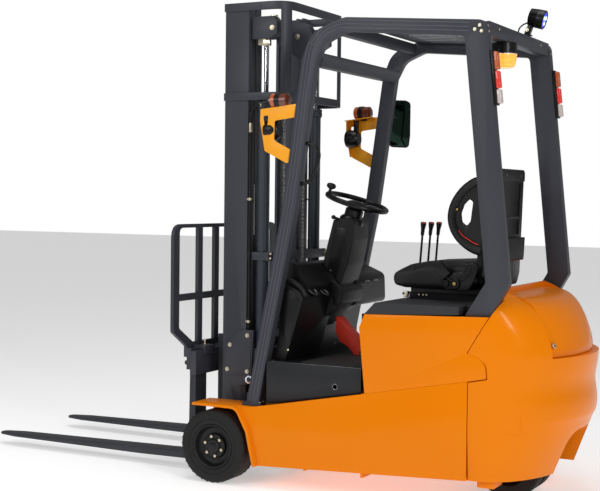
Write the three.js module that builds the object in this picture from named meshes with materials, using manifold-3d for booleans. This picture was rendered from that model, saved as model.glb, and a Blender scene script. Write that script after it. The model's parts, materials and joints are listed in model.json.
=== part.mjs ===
// Three-wheel electric counterbalance forklift, in millimetres.
// +X is forward (the forks), +Y is the driver's left, +Z is up.
// Inside the model X = 0 is the front axle and Z = 0 the ground; the last
// section moves the whole truck so that X = 0 is the middle of its box.

import * as THREE from 'three';
import { mergeVertices } from 'three/addons/utils/BufferGeometryUtils.js';
import Module from 'manifold-3d';

const wasm = await Module();
wasm.setup();

// ---- Driving dimensions -------------------------------------------------

const SEAT_GAP = 0.3;          // between pieces that touch
const RUN_GAP = 6;             // between pieces that move past each other

const WIDTH = 1070;            // over the front tyres
const WHEELBASE = 1300;
const REAR_OVERHANG = 350;     // rear axle to the back of the counterweight
const CLEARANCE = 100;         // ground to the underside of the frame

const TYRE_D = 343;
const TYRE_W = 140;
const RIM_R = 104;
const REAR_TYRE_D = 300;
const REAR_TYRE_W = 100;
const REAR_TYRE_GAP = 40;      // between the twin rear tyres

const BODY_HALF = 500;         // half width over the body sides
const WALL = 10;               // body plate
const FLOOR_Z = 585;           // top of the floor plate
const FLOOR_T = 14;
const HOOD_Z = 884;            // top of the hood
const HOOD_T = 52;
const GUARD_Z = 2141;          // top of the overhead guard, at its front
const GUARD_DROP = 47;         // the roof falls this much to the rear
const GUARD_OUT = 472;         // half width over the guard legs
const LEG_T = 46;              // guard tube, across the truck
const MIRROR_OUT = 611;        // middle of the truck to the outer edge of its mirror

const MAST_TOP = 2262;
const MAST_OUT = 310;          // half width over the outer mast
const MAST_FRONT = 79;
const MAST_DEPTH = 129;
const CHAIN_X = -182;          // lift chain's rear run

const TILT_Y = 334;
const TILT_Z = 470;
const TILT_EYE_X = -86;        // rod eye, behind the mast
const TILT_PIN_X = -640;       // barrel pin, on the frame
const TILT_R = 20;
const TILT_ROD_R = 12;
const TILT_BARREL = 330;

const FORK_LENGTH = 1220;
const FORK_T = 35;
const FORK_W = 100;
const FORK_FACE = 255;         // front face of the fork shanks
const FORK_Z = 88;             // top of the blades at the heel
const FORK_DROP = 24;          // the blades fall this much to the tip
const FORK_SPREAD = 288;       // centre line of each fork from the middle

// ---- Shape helpers ------------------------------------------------------

const group = new THREE.Group();
const truck = new THREE.Group();
group.add(truck);

function solid(geometry) {
  geometry.deleteAttribute('normal');
  geometry.deleteAttribute('uv');
  const merged = mergeVertices(geometry, 1e-3);
  return new wasm.Manifold(new wasm.Mesh({
    numProp: 3,
    vertProperties: new Float32Array(merged.attributes.position.array),
    triVerts: new Uint32Array(merged.index.array),
  }));
}

function join(...solids) {
  return solids.reduce((sum, next) => sum.add(next));
}

function cut(body, ...tools) {
  return tools.reduce((rest, tool) => rest.subtract(tool), body);
}

function piece(name, look, body) {
  const mesh = body.getMesh();
  const geometry = new THREE.BufferGeometry();
  geometry.setAttribute('position', new THREE.BufferAttribute(mesh.vertProperties, 3));
  geometry.setIndex(new THREE.BufferAttribute(mesh.triVerts, 1));
  geometry.computeVertexNormals();
  const part = new THREE.Mesh(geometry, look);
  part.name = name;
  truck.add(part);
  return part;
}

function box(x0, x1, y0, y1, z0, z1) {
  const size = [Math.abs(x1 - x0), Math.abs(y1 - y0), Math.abs(z1 - z0)];
  const geometry = new THREE.BoxGeometry(...size);
  geometry.translate((x0 + x1) / 2, (y0 + y1) / 2, (z0 + z1) / 2);
  return solid(geometry);
}

function outline(points) {
  const shape = new THREE.Shape();
  points.forEach(([u, v], i) => (i ? shape.lineTo(u, v) : shape.moveTo(u, v)));
  shape.closePath();
  return shape;
}

// A corner polygon with each corner rounded by its own radius: [u, v, radius].
function rounded(corners, steps = 6) {
  const points = [];
  const count = corners.length;
  corners.forEach(([u, v, radius = 0], i) => {
    const here = new THREE.Vector2(u, v);
    if (!radius) {
      points.push([u, v]);
      return;
    }
    const before = new THREE.Vector2(...corners[(i + count - 1) % count].slice(0, 2)).sub(here);
    const after = new THREE.Vector2(...corners[(i + 1) % count].slice(0, 2)).sub(here);
    const half = Math.acos(before.dot(after) / before.length() / after.length()) / 2;
    const reach = Math.min(radius / Math.tan(half), before.length() / 2, after.length() / 2);
    const start = here.clone().addScaledVector(before.normalize(), reach);
    const end = here.clone().addScaledVector(after.normalize(), reach);
    const curve = new THREE.QuadraticBezierCurve(start, here, end);
    curve.getPoints(steps).forEach((p) => points.push([p.x, p.y]));
  });
  return points;
}

function extrude(shape, depth) {
  return new THREE.ExtrudeGeometry(shape, { depth, bevelEnabled: false, steps: 1, curveSegments: 8 });
}

// Outline in X and Z, swept across the truck from y0 to y1.
function slabXZ(points, y0, y1) {
  const geometry = extrude(outline(points), Math.abs(y1 - y0));
  geometry.rotateX(Math.PI / 2);
  geometry.translate(0, Math.max(y0, y1), 0);
  return solid(geometry);
}

// Outline in X and Y, swept up from z0 to z1.
function slabXY(points, z0, z1) {
  const geometry = extrude(outline(points), z1 - z0);
  geometry.translate(0, 0, z0);
  return solid(geometry);
}

// Outline in Y and Z, swept forward from x0 to x1.
function slabYZ(points, x0, x1) {
  const geometry = extrude(outline(points), x1 - x0);
  geometry.rotateZ(Math.PI / 2);
  geometry.rotateY(Math.PI / 2);
  geometry.translate(x0, 0, 0);
  return solid(geometry);
}

// A round bar between two points.
function bar(from, to, radius, sides = 24) {
  const a = new THREE.Vector3(...from);
  const b = new THREE.Vector3(...to);
  const way = b.clone().sub(a);
  const geometry = new THREE.CylinderGeometry(radius, radius, way.length(), sides);
  const turn = new THREE.Quaternion().setFromUnitVectors(new THREE.Vector3(0, 1, 0), way.normalize());
  geometry.applyQuaternion(turn);
  const middle = a.add(b).multiplyScalar(0.5);
  geometry.translate(middle.x, middle.y, middle.z);
  return solid(geometry);
}

// A turned solid about a line along Y through (x, z): profile of [radius, y].
function turnedY(profile, x, z, segments = 48) {
  const points = profile.map(([r, y]) => new THREE.Vector2(r, y));
  const geometry = new THREE.LatheGeometry(points, segments);
  geometry.translate(x, 0, z);
  return solid(geometry);
}

// A turned solid about a vertical line through (x, y): profile of [radius, z].
function turnedZ(profile, x, y, segments = 32) {
  const points = profile.map(([r, z]) => new THREE.Vector2(r, z));
  const geometry = new THREE.LatheGeometry(points, segments);
  geometry.rotateX(Math.PI / 2);
  geometry.translate(x, y, 0);
  return solid(geometry);
}

// A solid skinned over level outlines, each a list of [x, y, z] with the same count.
function loft(rings) {
  const count = rings[0].length;
  const index = [];
  for (let i = 0; i + 1 < rings.length; i += 1) {
    for (let j = 0; j < count; j += 1) {
      const [a, b] = [i * count + j, i * count + ((j + 1) % count)];
      index.push(a, b, b + count, a, b + count, a + count);
    }
  }
  const top = (rings.length - 1) * count;
  for (let j = 1; j + 1 < count; j += 1) {
    index.push(0, j + 1, j);
    index.push(top, top + j, top + j + 1);
  }
  const geometry = new THREE.BufferGeometry();
  geometry.setAttribute('position', new THREE.Float32BufferAttribute(rings.flat(2), 3));
  geometry.setIndex(index);
  return solid(geometry);
}

// A tube along a smooth curve through points.
function hose(points, radius, steps, sides = 8) {
  const curve = new THREE.CatmullRomCurve3(points.map((p) => new THREE.Vector3(...p)), false, 'centripetal');
  const section = new THREE.Shape();
  for (let i = 0; i < sides; i += 1) {
    const angle = (2 * Math.PI * i) / sides;
    const [u, v] = [radius * Math.cos(angle), radius * Math.sin(angle)];
    if (i) section.lineTo(u, v);
    else section.moveTo(u, v);
  }
  section.closePath();
  return solid(new THREE.ExtrudeGeometry(section, { steps, extrudePath: curve, bevelEnabled: false }));
}

// ---- Looks --------------------------------------------------------------

function look(color, roughness = 0.5, metalness = 0) {
  return new THREE.MeshStandardMaterial({ color, roughness, metalness });
}

const ORANGE = 0xe8951a;
const SLATE = 0x3d4046;
const BLACK = 0x17181a;
const RUBBER = 0x141415;
const STEEL = 0x8d9196;
const CHROME = 0xc9ccd0;

const SIDES = [['left', 1], ['right', -1]];

// ---- Frame with its fenders ---------------------------------------------

const AXLE_Z = TYRE_D / 2;
const REAR_X = -WHEELBASE - REAR_OVERHANG;
const TYRE_OUT = WIDTH / 2;
const TYRE_IN = TYRE_OUT - TYRE_W;
const FENDER_TOP = TYRE_D + 28;
const FENDER_T = 12;
const FENDER_REAR = -227;
const CHEEK = TYRE_IN - 34;    // inner face of the frame's wheel plates
const SEAM_X = -1243;          // joint between the frame and the counterweight
const SEAM_Z = 570;            // top of the frame's sides at that joint
const SIDE_FRONT_Z = 388;      // top of the frame's sides at the front
const TAIL_RISE = 47;          // the underside rises this much to the rear
const BAY_FRONT = -765;        // battery bay
const BAY_REAR = -1214;
const WELL_R = Math.hypot(REAR_TYRE_D / 2, REAR_TYRE_W + REAR_TYRE_GAP / 2) + 14;
const WELL_TOP = REAR_TYRE_D + 40;

// Top edge of the frame's sides, which rises to the rear.
function sideTop(x) {
  return SIDE_FRONT_Z + ((SEAM_Z - SIDE_FRONT_Z) * (-291 - x)) / (-291 - SEAM_X);
}

function wheelWell(z0, z1, extra = 0) {
  return turnedZ([[0, z0], [WELL_R + extra, z0], [WELL_R + extra, z1], [0, z1]], -WHEELBASE, 0, 48);
}

function frame() {
  const sideLine = [
    [FENDER_REAR, CLEARANCE],
    [SEAM_X, CLEARANCE + TAIL_RISE],
    [SEAM_X, SEAM_Z],
    [-291, SIDE_FRONT_Z],
    [-128, FENDER_TOP - FENDER_T],
    [-190, 250],
  ].reverse();
  const arch = rounded([
    [113, FENDER_TOP, 4],
    [-128, FENDER_TOP, 60],
    [-190, 262, 30],
    [FENDER_REAR, CLEARANCE],
    [FENDER_REAR + FENDER_T, CLEARANCE],
    [-190 + FENDER_T, 256, 30],
    [-128 + FENDER_T / 2, FENDER_TOP - FENDER_T, 50],
    [113, FENDER_TOP - FENDER_T],
  ]);
  const parts = [];
  SIDES.forEach(([, s]) => {
    parts.push(slabXZ(sideLine, s * (BODY_HALF - WALL), s * BODY_HALF));
    parts.push(slabXZ(arch, s * (TYRE_IN - 22), s * (TYRE_OUT - 5)));
    parts.push(box(-262, -100, s * (CHEEK + 2), s * (BODY_HALF - 2), FENDER_TOP - FENDER_T, FENDER_TOP));
    parts.push(slabXZ([[FENDER_REAR + 2, CLEARANCE], [-60, CLEARANCE], [60, 110], [95, FENDER_TOP - 2],
      [FENDER_REAR + 2, FENDER_TOP - 2]], s * CHEEK, s * (TYRE_IN - 20)));
  });
  parts.push(slabXZ([[FENDER_REAR, CLEARANCE], [SEAM_X, CLEARANCE + TAIL_RISE],
    [SEAM_X, CLEARANCE + TAIL_RISE + 12], [FENDER_REAR, CLEARANCE + 12]], -BODY_HALF + 1, BODY_HALF - 1));
  parts.push(box(FENDER_REAR - 12, FENDER_REAR + 3, -CHEEK - 5, CHEEK + 5, CLEARANCE, FENDER_TOP - 2));
  parts.push(box(BAY_FRONT + 2, BAY_FRONT + 14, -BODY_HALF + 1, BODY_HALF - 1, CLEARANCE + 5, 478));
  parts.push(box(SEAM_X + 2, BAY_FRONT + 8, -BODY_HALF + 1, BODY_HALF - 1, 388, 400));
  parts.push(box(SEAM_X + 1, SEAM_X + 13, -BODY_HALF + 1, BODY_HALF - 1, CLEARANCE + TAIL_RISE, SEAM_Z - 6));
  parts.push(box(FENDER_REAR - 250, FENDER_REAR - 238, -BODY_HALF + 1, BODY_HALF - 1, CLEARANCE + 5, 404));
  parts.push(box(FENDER_REAR - 250, FENDER_REAR - 238, -300, 300, 400, FLOOR_Z - FLOOR_T - SEAT_GAP));
  SIDES.forEach(([, s]) => {
    const [yIn, yOut] = [TILT_Y - 24, TILT_Y + 24];
    parts.push(cut(box(BAY_FRONT + 8, TILT_PIN_X + 14, s * yIn, s * yOut, TILT_Z - 26, TILT_Z + 8),
      box(TILT_PIN_X - 30, TILT_PIN_X + 40, s * (TILT_Y - 12), s * (TILT_Y + 12), TILT_Z - 60, TILT_Z + 60)));
    parts.push(bar([TILT_PIN_X, s * (yIn + 2), TILT_Z], [TILT_PIN_X, s * (yOut - 2), TILT_Z], 10, 16));
  });
  return cut(join(...parts), wheelWell(0, WELL_TOP));
}

piece('frame', look(ORANGE, 0.35), frame());

// ---- Front axle and wheels ----------------------------------------------

const PIVOT_R = 28;            // pins that the mast tilts on
const BEAM_REAR = FENDER_REAR + 3;
const BEAM_FRONT = -172;

function frontAxle() {
  const half = CHEEK - SEAT_GAP;
  const parts = [box(BEAM_REAR + SEAT_GAP, BEAM_FRONT, -half, half, CLEARANCE + 4, AXLE_Z + 68)];
  SIDES.forEach(([, s]) => {
    parts.push(box(BEAM_FRONT - 10, 45, s * (MAST_OUT + 8), s * half, AXLE_Z - 60, AXLE_Z + 60));
    parts.push(bar([0, s * (MAST_OUT - 11), AXLE_Z], [0, s * (half - 5), AXLE_Z], PIVOT_R));
  });
  return join(...parts);
}

piece('front_axle', look(BLACK, 0.6, 0.3), frontAxle());

function rim(s) {
  const outer = TYRE_OUT - 4;
  const inner = TYRE_IN + 10;
  const hub = TYRE_IN - 20 + SEAT_GAP;
  const bead = RIM_R - SEAT_GAP;
  const profile = [[0, hub], [50, hub], [50, inner], [bead, inner], [bead, outer], [96, outer], [86, outer - 34],
    [60, outer - 38], [56, outer - 22], [34, outer - 20], [32, outer - 6], [0, outer - 4]];
  const parts = [turnedY(profile, 0, AXLE_Z, 36)];
  for (let i = 0; i < 6; i += 1) {
    const angle = (i * Math.PI) / 3 + 0.3;
    const [x, z] = [46 * Math.cos(angle), AXLE_Z + 46 * Math.sin(angle)];
    parts.push(bar([x, outer - 30, z], [x, outer - 8, z], 8, 6));
  }
  const whole = join(...parts);
  return s > 0 ? whole : whole.mirror([0, 1, 0]);
}

function tyre(s, width, radius, bore, y0) {
  const [a, b] = [y0, y0 + width];
  const ring = turnedY([[bore, a + 8], [bore + 14, a], [radius - 12, a], [radius, a + 14],
    [radius, b - 14], [radius - 12, b], [bore + 14, b], [bore, b - 8], [bore, a + 8]], 0, 0, 48);
  return s > 0 ? ring : ring.mirror([0, 1, 0]);
}

SIDES.forEach(([side, s]) => {
  const rubber = piece(`tyre_${side}`, look(RUBBER, 0.85), tyre(s, TYRE_W, TYRE_D / 2, RIM_R, TYRE_IN));
  rubber.position.set(0, 0, AXLE_Z);
  piece(`rim_${side}`, look(BLACK, 0.5, 0.4), rim(s));
});

// ---- Rear steering and twin wheels --------------------------------------

const REAR_AXLE_Z = REAR_TYRE_D / 2;
const TURNTABLE_Z = WELL_TOP - 14;

function steerFork() {
  const half = REAR_TYRE_GAP / 2 - 6;
  const leg = slabXZ([[-WHEELBASE - 45, TURNTABLE_Z - 22], [-WHEELBASE + 45, TURNTABLE_Z - 22],
    [-WHEELBASE + 40, REAR_AXLE_Z - 30], [-WHEELBASE - 40, REAR_AXLE_Z - 30]], -half, half);
  const disc = turnedZ([[0, TURNTABLE_Z - 24], [110, TURNTABLE_Z - 24], [110, TURNTABLE_Z],
    [40, TURNTABLE_Z], [40, WELL_TOP - SEAT_GAP], [0, WELL_TOP - SEAT_GAP]], -WHEELBASE, 0);
  const bore = bar([-WHEELBASE, -60, REAR_AXLE_Z], [-WHEELBASE, 60, REAR_AXLE_Z], 22.5);
  return cut(join(leg, disc), bore);
}

function rearWheels() {
  const inner = REAR_TYRE_GAP / 2;
  const outer = inner + REAR_TYRE_W;
  const r = REAR_TYRE_D / 2;
  const half = [[0, 0], [22, 0], [22, inner + 4], [r - 8, inner + 4], [r, inner + 14], [r, outer - 10],
    [r - 10, outer], [90, outer], [84, outer - 30], [40, outer - 32], [36, outer - 12], [0, outer - 12]];
  const profile = [...half.map(([u, y]) => [u, -y]).reverse().slice(0, -1), ...half.slice(1)];
  return turnedY(profile, -WHEELBASE, REAR_AXLE_Z, 36);
}

piece('steer_fork', look(BLACK, 0.6, 0.3), steerFork());
piece('rear_wheels', look(RUBBER, 0.85), rearWheels());

// ---- Counterweight and rear cover ---------------------------------------

const TAIL_SIDE_X = -1270;     // the counterweight's sides curve in behind this
const TAIL_FRONT = -1236;
const TAIL_FOOT = CLEARANCE + TAIL_RISE;
const TAIL_TOP = 955;
const SHOULDER_Z = 800;        // the shoulders round in above this
const SHOULDER_IN = 400;       // half width of the flat top
const TAPER_Z = 372;           // the lower body tapers in below this
const COVER_Y = 322;           // half width of the rear cover
const COVER_FOOT = 672;
const COVER_FRONT = -1312;
const COVER_T = 14;
const LEG_FOOT_Z = 847;
const LEG_FOOT_REAR = -1330;
const HINGE_X = -1290;         // hinge line of the hood
const HINGE_Z = 866;
const HINGE_PIN_R = 6;
const HINGE_Y = 335;

function tailHalf(z) {
  if (z < TAPER_Z) return BODY_HALF - (15 * (TAPER_Z - z)) / (TAPER_Z - TAIL_FOOT);
  const up = Math.min(Math.max((z - SHOULDER_Z) / (TAIL_TOP - SHOULDER_Z), 0), 1);
  return SHOULDER_IN + (BODY_HALF - SHOULDER_IN) * Math.sqrt(1 - up * up);
}

// A level outline of the tail: straight sides, then half an ellipse back to x.
function tailRing(x, z, half, steps = 20) {
  const points = [[TAIL_FRONT, half, z]];
  for (let i = 0; i <= steps; i += 1) {
    const angle = (Math.PI * i) / steps;
    points.push([TAIL_SIDE_X + (x - TAIL_SIDE_X) * Math.sin(angle), half * Math.cos(angle), z]);
  }
  points.push([TAIL_FRONT, -half, z]);
  return points;
}

// Skins the tail over a line of [x, z] points down the middle of its back.
function tailSolid(line, halfAt) {
  const spine = line.map(([x, z]) => new THREE.Vector3(x, 0, z));
  const curve = new THREE.CatmullRomCurve3(spine, false, 'centripetal');
  return loft(curve.getPoints(2 * (line.length - 1)).map((p) => tailRing(p.x, p.z, halfAt(p.z))));
}

const TAIL_LINE = [
  [REAR_X + 110, TAIL_FOOT], [REAR_X + 25, TAPER_Z - 8], [REAR_X + 6, 405], [REAR_X + 2, 460],
  [REAR_X + 13, 545], [REAR_X + 3, 620], [REAR_X, 690], [REAR_X + 20, 749], [REAR_X + 59, 823],
  [REAR_X + 121, 886], [REAR_X + 202, 926], [REAR_X + 270, 950], [REAR_X + 310, TAIL_TOP],
];

const COVER_LINE = [
  [REAR_X + 32, 640], [REAR_X + 33, 700], [REAR_X + 53, 772], [REAR_X + 84, 843],
  [REAR_X + 130, 895], [REAR_X + 200, 924], [REAR_X + 310, 934],
];

// Everything inside the cover, or inside its seat where extra is a gap.
function coverCore(extra) {
  const t = COVER_T + extra;
  return tailSolid(COVER_LINE.map(([x, z]) => [x + t, z - t]), () => BODY_HALF);
}

function hingeBracket(s) {
  const [y0, y1] = [s * (HINGE_Y + 1), s * (HINGE_Y + 11)];
  const ear = join(bar([HINGE_X, y0, HINGE_Z], [HINGE_X, y1, HINGE_Z], 10, 20),
    slabXZ([[HINGE_X, HINGE_Z - 10], [HINGE_X + 7, HINGE_Z - 6], [HINGE_X - 10, 780], [HINGE_X - 40, 780],
      [HINGE_X - 30, HINGE_Z - 20], [HINGE_X - 7, HINGE_Z + 6]], y0, y1));
  const pin = bar([HINGE_X, s * (HINGE_Y - 31), HINGE_Z], [HINGE_X, s * (HINGE_Y + 5), HINGE_Z], HINGE_PIN_R, 16);
  return join(ear, pin);
}

// The side panel's outline, with a rear tongue that laps the counterweight.
function panelOutline(grow) {
  const foot = (x) => [x, sideTop(x) + SEAT_GAP - grow];
  return rounded([
    foot(BAY_FRONT), foot(SEAM_X), [SEAM_X - 83 - grow, SEAM_Z + 18 - grow, 8], [SEAM_X - 77 - grow, 645, 40],
    [SEAM_X - 46, 677, 30], [SEAM_X + 5, 691, 4], [LEG_FOOT_REAR - grow, LEG_FOOT_Z + grow],
    [BAY_FRONT + 8, PANEL_TOP_FRONT + grow], [BAY_FRONT + 30, 770],
  ]);
}

const PANEL_IN = BODY_HALF - 26;
const PANEL_TOP_FRONT = 831;
const SHOULDER_Y = [412, 466];  // the legs of the guard stand on these
const HOOD_BAY_Y = 405;

function counterweight() {
  const body = tailSolid(TAIL_LINE, tailHalf);
  const front = slabXZ([[TAIL_FRONT + 20, 0], [SEAM_X - 2, 0], [SEAM_X - 2, SEAM_Z], [SEAM_X + 1, 691],
    [SEAM_X + 1, TAIL_TOP + 60], [TAIL_FRONT + 20, TAIL_TOP + 60]], -BODY_HALF - 5, BODY_HALF + 5);
  const bay = box(-1302, TAIL_FRONT + 20, -HOOD_BAY_Y, HOOD_BAY_Y, SEAM_Z + 14, TAIL_TOP + 60);
  const legRoom = SIDES.map(([, s]) => slabXZ([[SEAM_X + 1, 691], [LEG_FOOT_REAR - 4, LEG_FOOT_Z], [-1416, 1000],
    [TAIL_FRONT + 20, 1000], [TAIL_FRONT + 20, 691]], s * (HOOD_BAY_Y - 1), s * (BODY_HALF + 5)));
  const panelRoom = SIDES.map(([, s]) => slabXZ(panelOutline(3), s * (PANEL_IN - 3), s * (BODY_HALF + 5)));
  const shoulders = SIDES.map(([, s]) => box(LEG_FOOT_REAR, BAY_REAR - 2, s * SHOULDER_Y[0], s * SHOULDER_Y[1],
    600, LEG_FOOT_Z));
  const coverRoom = cut(box(REAR_X - 20, COVER_FRONT + 0.4, -COVER_Y - 2, COVER_Y + 2, COVER_FOOT - 1, TAIL_TOP + 60),
    coverCore(SEAT_GAP));
  const rearArch = slabYZ(rounded([[-172, 60], [172, 60], [150, 338, 90], [-150, 338, 90]]), REAR_X - 20, -WHEELBASE);
  const hinges = SIDES.map(([, s]) => hingeBracket(s));
  const whole = join(cut(body, front, bay, ...legRoom), ...shoulders, ...hinges);
  return cut(whole, ...panelRoom, coverRoom, rearArch, wheelWell(0, WELL_TOP, 2));
}

function rearCover() {
  const shell = cut(tailSolid(COVER_LINE, () => BODY_HALF), coverCore(0));
  return shell.intersect(box(REAR_X - 20, COVER_FRONT, -COVER_Y, COVER_Y, COVER_FOOT, TAIL_TOP));
}

piece('counterweight', look(ORANGE, 0.35), counterweight());
piece('rear_cover', look(ORANGE, 0.35), rearCover());

// ---- Battery, side panels, hood -----------------------------------------

SIDES.forEach(([side, s]) => piece(`side_panel_${side}`, look(ORANGE, 0.35),
  slabXZ(panelOutline(0), s * PANEL_IN, s * BODY_HALF)));

piece('battery', look(BLACK, 0.6), box(BAY_REAR + 6, BAY_FRONT - 6, -HOOD_BAY_Y, HOOD_BAY_Y, 400 + SEAT_GAP, 800));

const HOOD_FRONT = -757;
const HOOD_REAR = -1276;
const HOOD_HALF = 494;
const HOOD_WAIST = 398;        // half width between the rear guard legs
const HOOD_CHAMFER = 50;       // the front edge slopes back by this

function hood() {
  const profile = rounded([[HOOD_FRONT, HOOD_Z - HOOD_T], [HOOD_FRONT - HOOD_CHAMFER, HOOD_Z, 6],
    [HOOD_REAR, HOOD_Z, 6], [HOOD_REAR, LEG_FOOT_Z + 6], [BAY_FRONT - 10, HOOD_Z - HOOD_T]]);
  const waist = LEG_FOOT_REAR + 134;
  const plan = rounded([[HOOD_FRONT + 10, HOOD_HALF], [waist, HOOD_HALF, 10], [waist, HOOD_WAIST, 6],
    [HOOD_REAR - 10, HOOD_WAIST], [HOOD_REAR - 10, -HOOD_WAIST], [waist, -HOOD_WAIST, 6],
    [waist, -HOOD_HALF, 10], [HOOD_FRONT + 10, -HOOD_HALF]]);
  const slab = slabXZ(profile, -HOOD_HALF, HOOD_HALF).intersect(slabXY(plan, 0, 1000));
  const eyes = SIDES.map(([, s]) => {
    const [y0, y1] = [s * (HINGE_Y - 35), s * (HINGE_Y - 1)];
    return cut(join(bar([HINGE_X, y0, HINGE_Z], [HINGE_X, y1, HINGE_Z], 12, 20),
      box(HINGE_X, HOOD_REAR + 12, y0, y1, HINGE_Z - 9, HINGE_Z + 9)),
    bar([HINGE_X, y0 - s, HINGE_Z], [HINGE_X, y1 + s, HINGE_Z], HINGE_PIN_R + 0.5, 20));
  });
  return join(slab, ...eyes);
}

piece('hood', look(SLATE, 0.6), hood());

// ---- Floor, steps, dash -------------------------------------------------

const STEP_OUT = PANEL_IN + 6;
const FLOOR_FRONT = -260;
const FLOOR_REAR = -740;

function floorPlate() {
  const half = STEP_OUT - 10;
  const plate = box(FLOOR_REAR, FLOOR_FRONT, -half, half, FLOOR_Z - FLOOR_T, FLOOR_Z);
  const riser = box(FLOOR_REAR, FLOOR_REAR + 6, -half, half, FLOOR_Z - 1, HOOD_Z - HOOD_T - 2);
  return join(plate, riser);
}

function stepPanel(s) {
  const shape = [[FLOOR_FRONT, SIDE_FRONT_Z + 4], [-291, SIDE_FRONT_Z + 4], [FLOOR_REAR, 476], [FLOOR_REAR, FLOOR_Z],
    [FLOOR_FRONT, FLOOR_Z]];
  const hole = bar([-612, s * (STEP_OUT - 40), 495], [-612, s * (STEP_OUT + 40), 495], 11);
  return cut(slabXZ(shape, s * (STEP_OUT - 10 + SEAT_GAP), s * STEP_OUT), hole);
}

piece('floor', look(BLACK, 0.8), floorPlate());
SIDES.forEach(([side, s]) => piece(`step_panel_${side}`, look(SLATE, 0.5), stepPanel(s)));

const DASH_HALF = 410;
const DASH_TOP = 1038;
const DASH_FRONT = -285;       // clear of the mast at its full back tilt
const COWL_HALF = 385;
const COLUMN_HALF = 100;
const COLUMN = [[-400, 1238], [-340, 1000], [-340, 850], [-425, 850], [-437, 899], [-507, 1228], [-490, 1250]];

function dash() {
  const foot = FLOOR_Z + SEAT_GAP;
  const nearLobe = slabXZ(rounded([[DASH_FRONT + 25, foot], [DASH_FRONT, 700], [DASH_FRONT, 958, 10], [-390, 908, 40],
    [-408, 880, 20], [-320, foot]]), 70, DASH_HALF);
  const farLobe = slabXZ(rounded([[DASH_FRONT, 800], [DASH_FRONT, 1000, 20], [-330, 1005, 20], [-452, 955, 40],
    [-458, 812, 30], [-330, 806]]), -DASH_HALF, -60);
  const cowl = slabXZ(rounded([[DASH_FRONT, 800], [DASH_FRONT, DASH_TOP - 20, 20], [DASH_FRONT - 25, DASH_TOP, 10],
    [-345, 1030, 20], [-400, 930, 40], [-380, 800]]), -COWL_HALF, COWL_HALF - 30);
  const bulkhead = slabXZ([[DASH_FRONT + 25, foot], [DASH_FRONT, 700], [DASH_FRONT, 810], [DASH_FRONT - 20, 810],
    [DASH_FRONT - 10, foot]], -DASH_HALF, 80);
  const hump = slabXZ(rounded([[DASH_FRONT - 5, 700], [DASH_FRONT - 5, 1000], [-400, 980, 30], [-468, 900, 30],
    [-462, 838, 30], [-360, 760]]), -COLUMN_HALF - 14, COLUMN_HALF + 14);
  const columnRoom = slabXZ(COLUMN, -COLUMN_HALF - SEAT_GAP, COLUMN_HALF + SEAT_GAP);
  const shifts = [[SEAT_GAP, 0], [-2, 0], [0, SEAT_GAP], [0, -SEAT_GAP]];
  return cut(join(nearLobe, farLobe, cowl, bulkhead, hump), ...shifts.map(([x, z]) => columnRoom.translate([x, 0, z])));
}

piece('dash', look(BLACK, 0.65), dash());

const WHEEL_TILT = 0.3;        // steering wheel leans back, radians
const STEER_HUB = [-483, 0, 1319];
const STEER_R = 147;
const STEER_RIM_R = 12.5;

function column() {
  const up = [-Math.sin(WHEEL_TILT), 0, Math.cos(WHEEL_TILT)];
  const at = (d) => STEER_HUB.map((c, i) => c + up[i] * d);
  return join(slabXZ(rounded(COLUMN.map((p) => [...p, 12])), -COLUMN_HALF, COLUMN_HALF),
    bar(at(-34 - SEAT_GAP), at(-110), 38, 20));
}

function steeringWheel() {
  const parts = [solid(new THREE.TorusGeometry(STEER_R, STEER_RIM_R, 8, 36))];
  parts.push(bar([0, 0, -34], [0, 0, 4], 34, 20));
  [0.5, 2.64, -Math.PI / 2].forEach((angle) => {
    const reach = STEER_R - 2;
    parts.push(bar([0, 0, -14], [reach * Math.cos(angle), reach * Math.sin(angle), 0], 8, 8));
  });
  const [kx, ky] = [STEER_R * Math.cos(0.72), STEER_R * Math.sin(0.72)];
  parts.push(bar([kx, ky, 0], [kx, ky, 42], 8, 10));
  parts.push(bar([kx, ky, 36], [kx, ky, 62], 17, 14));
  return join(...parts);
}

piece('steering_column', look(BLACK, 0.7), column());
const wheel = piece('steering_wheel', look(BLACK, 0.6), steeringWheel());
wheel.position.set(...STEER_HUB);
wheel.rotation.set(0, -WHEEL_TILT, 0);

function pedal() {
  const [yIn, yOut] = [88, 100];
  const foot = FLOOR_Z + SEAT_GAP;
  const side = slabXZ([[-428, 770], [-585, 618], [-578, 602], [-520, foot], [-440, 650]], yIn, yOut);
  const face = slabXZ([[-428, 770], [-585, 618], [-580, 612], [-424, 764]], 20, yOut);
  return join(side, face, box(-560, -500, 88, yOut, foot, 640));
}

piece('red_pedal', look(0xb01818, 0.5), pedal());

// ---- Seat and levers ----------------------------------------------------

const SEAT_HALF = 240;
const BACK_HALF = 230;
const PAN_Z = 934;             // underside of the seat cushion
const CUSHION_FRONT = -748;
const CUSHION_REAR = -1160;
const BACK_REAR = -1228;
const BACK_TOP = 1481;
const WING = 103;              // the hip wings reach this far forward of the back

function seatBase() {
  const parts = SIDES.map(([, s]) => box(-1180, -830, s * 120, s * 160, HOOD_Z + SEAT_GAP, 914));
  parts.push(box(-1190, -842, -170, 170, 912, PAN_Z - SEAT_GAP));
  return join(...parts);
}

function seatCushion() {
  return slabXZ(rounded([[CUSHION_FRONT - 6, PAN_Z, 20], [CUSHION_FRONT, 1020, 60], [-914, 1044, 40],
    [CUSHION_REAR, 1056], [CUSHION_REAR, PAN_Z]]), -SEAT_HALF, SEAT_HALF);
}

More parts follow.
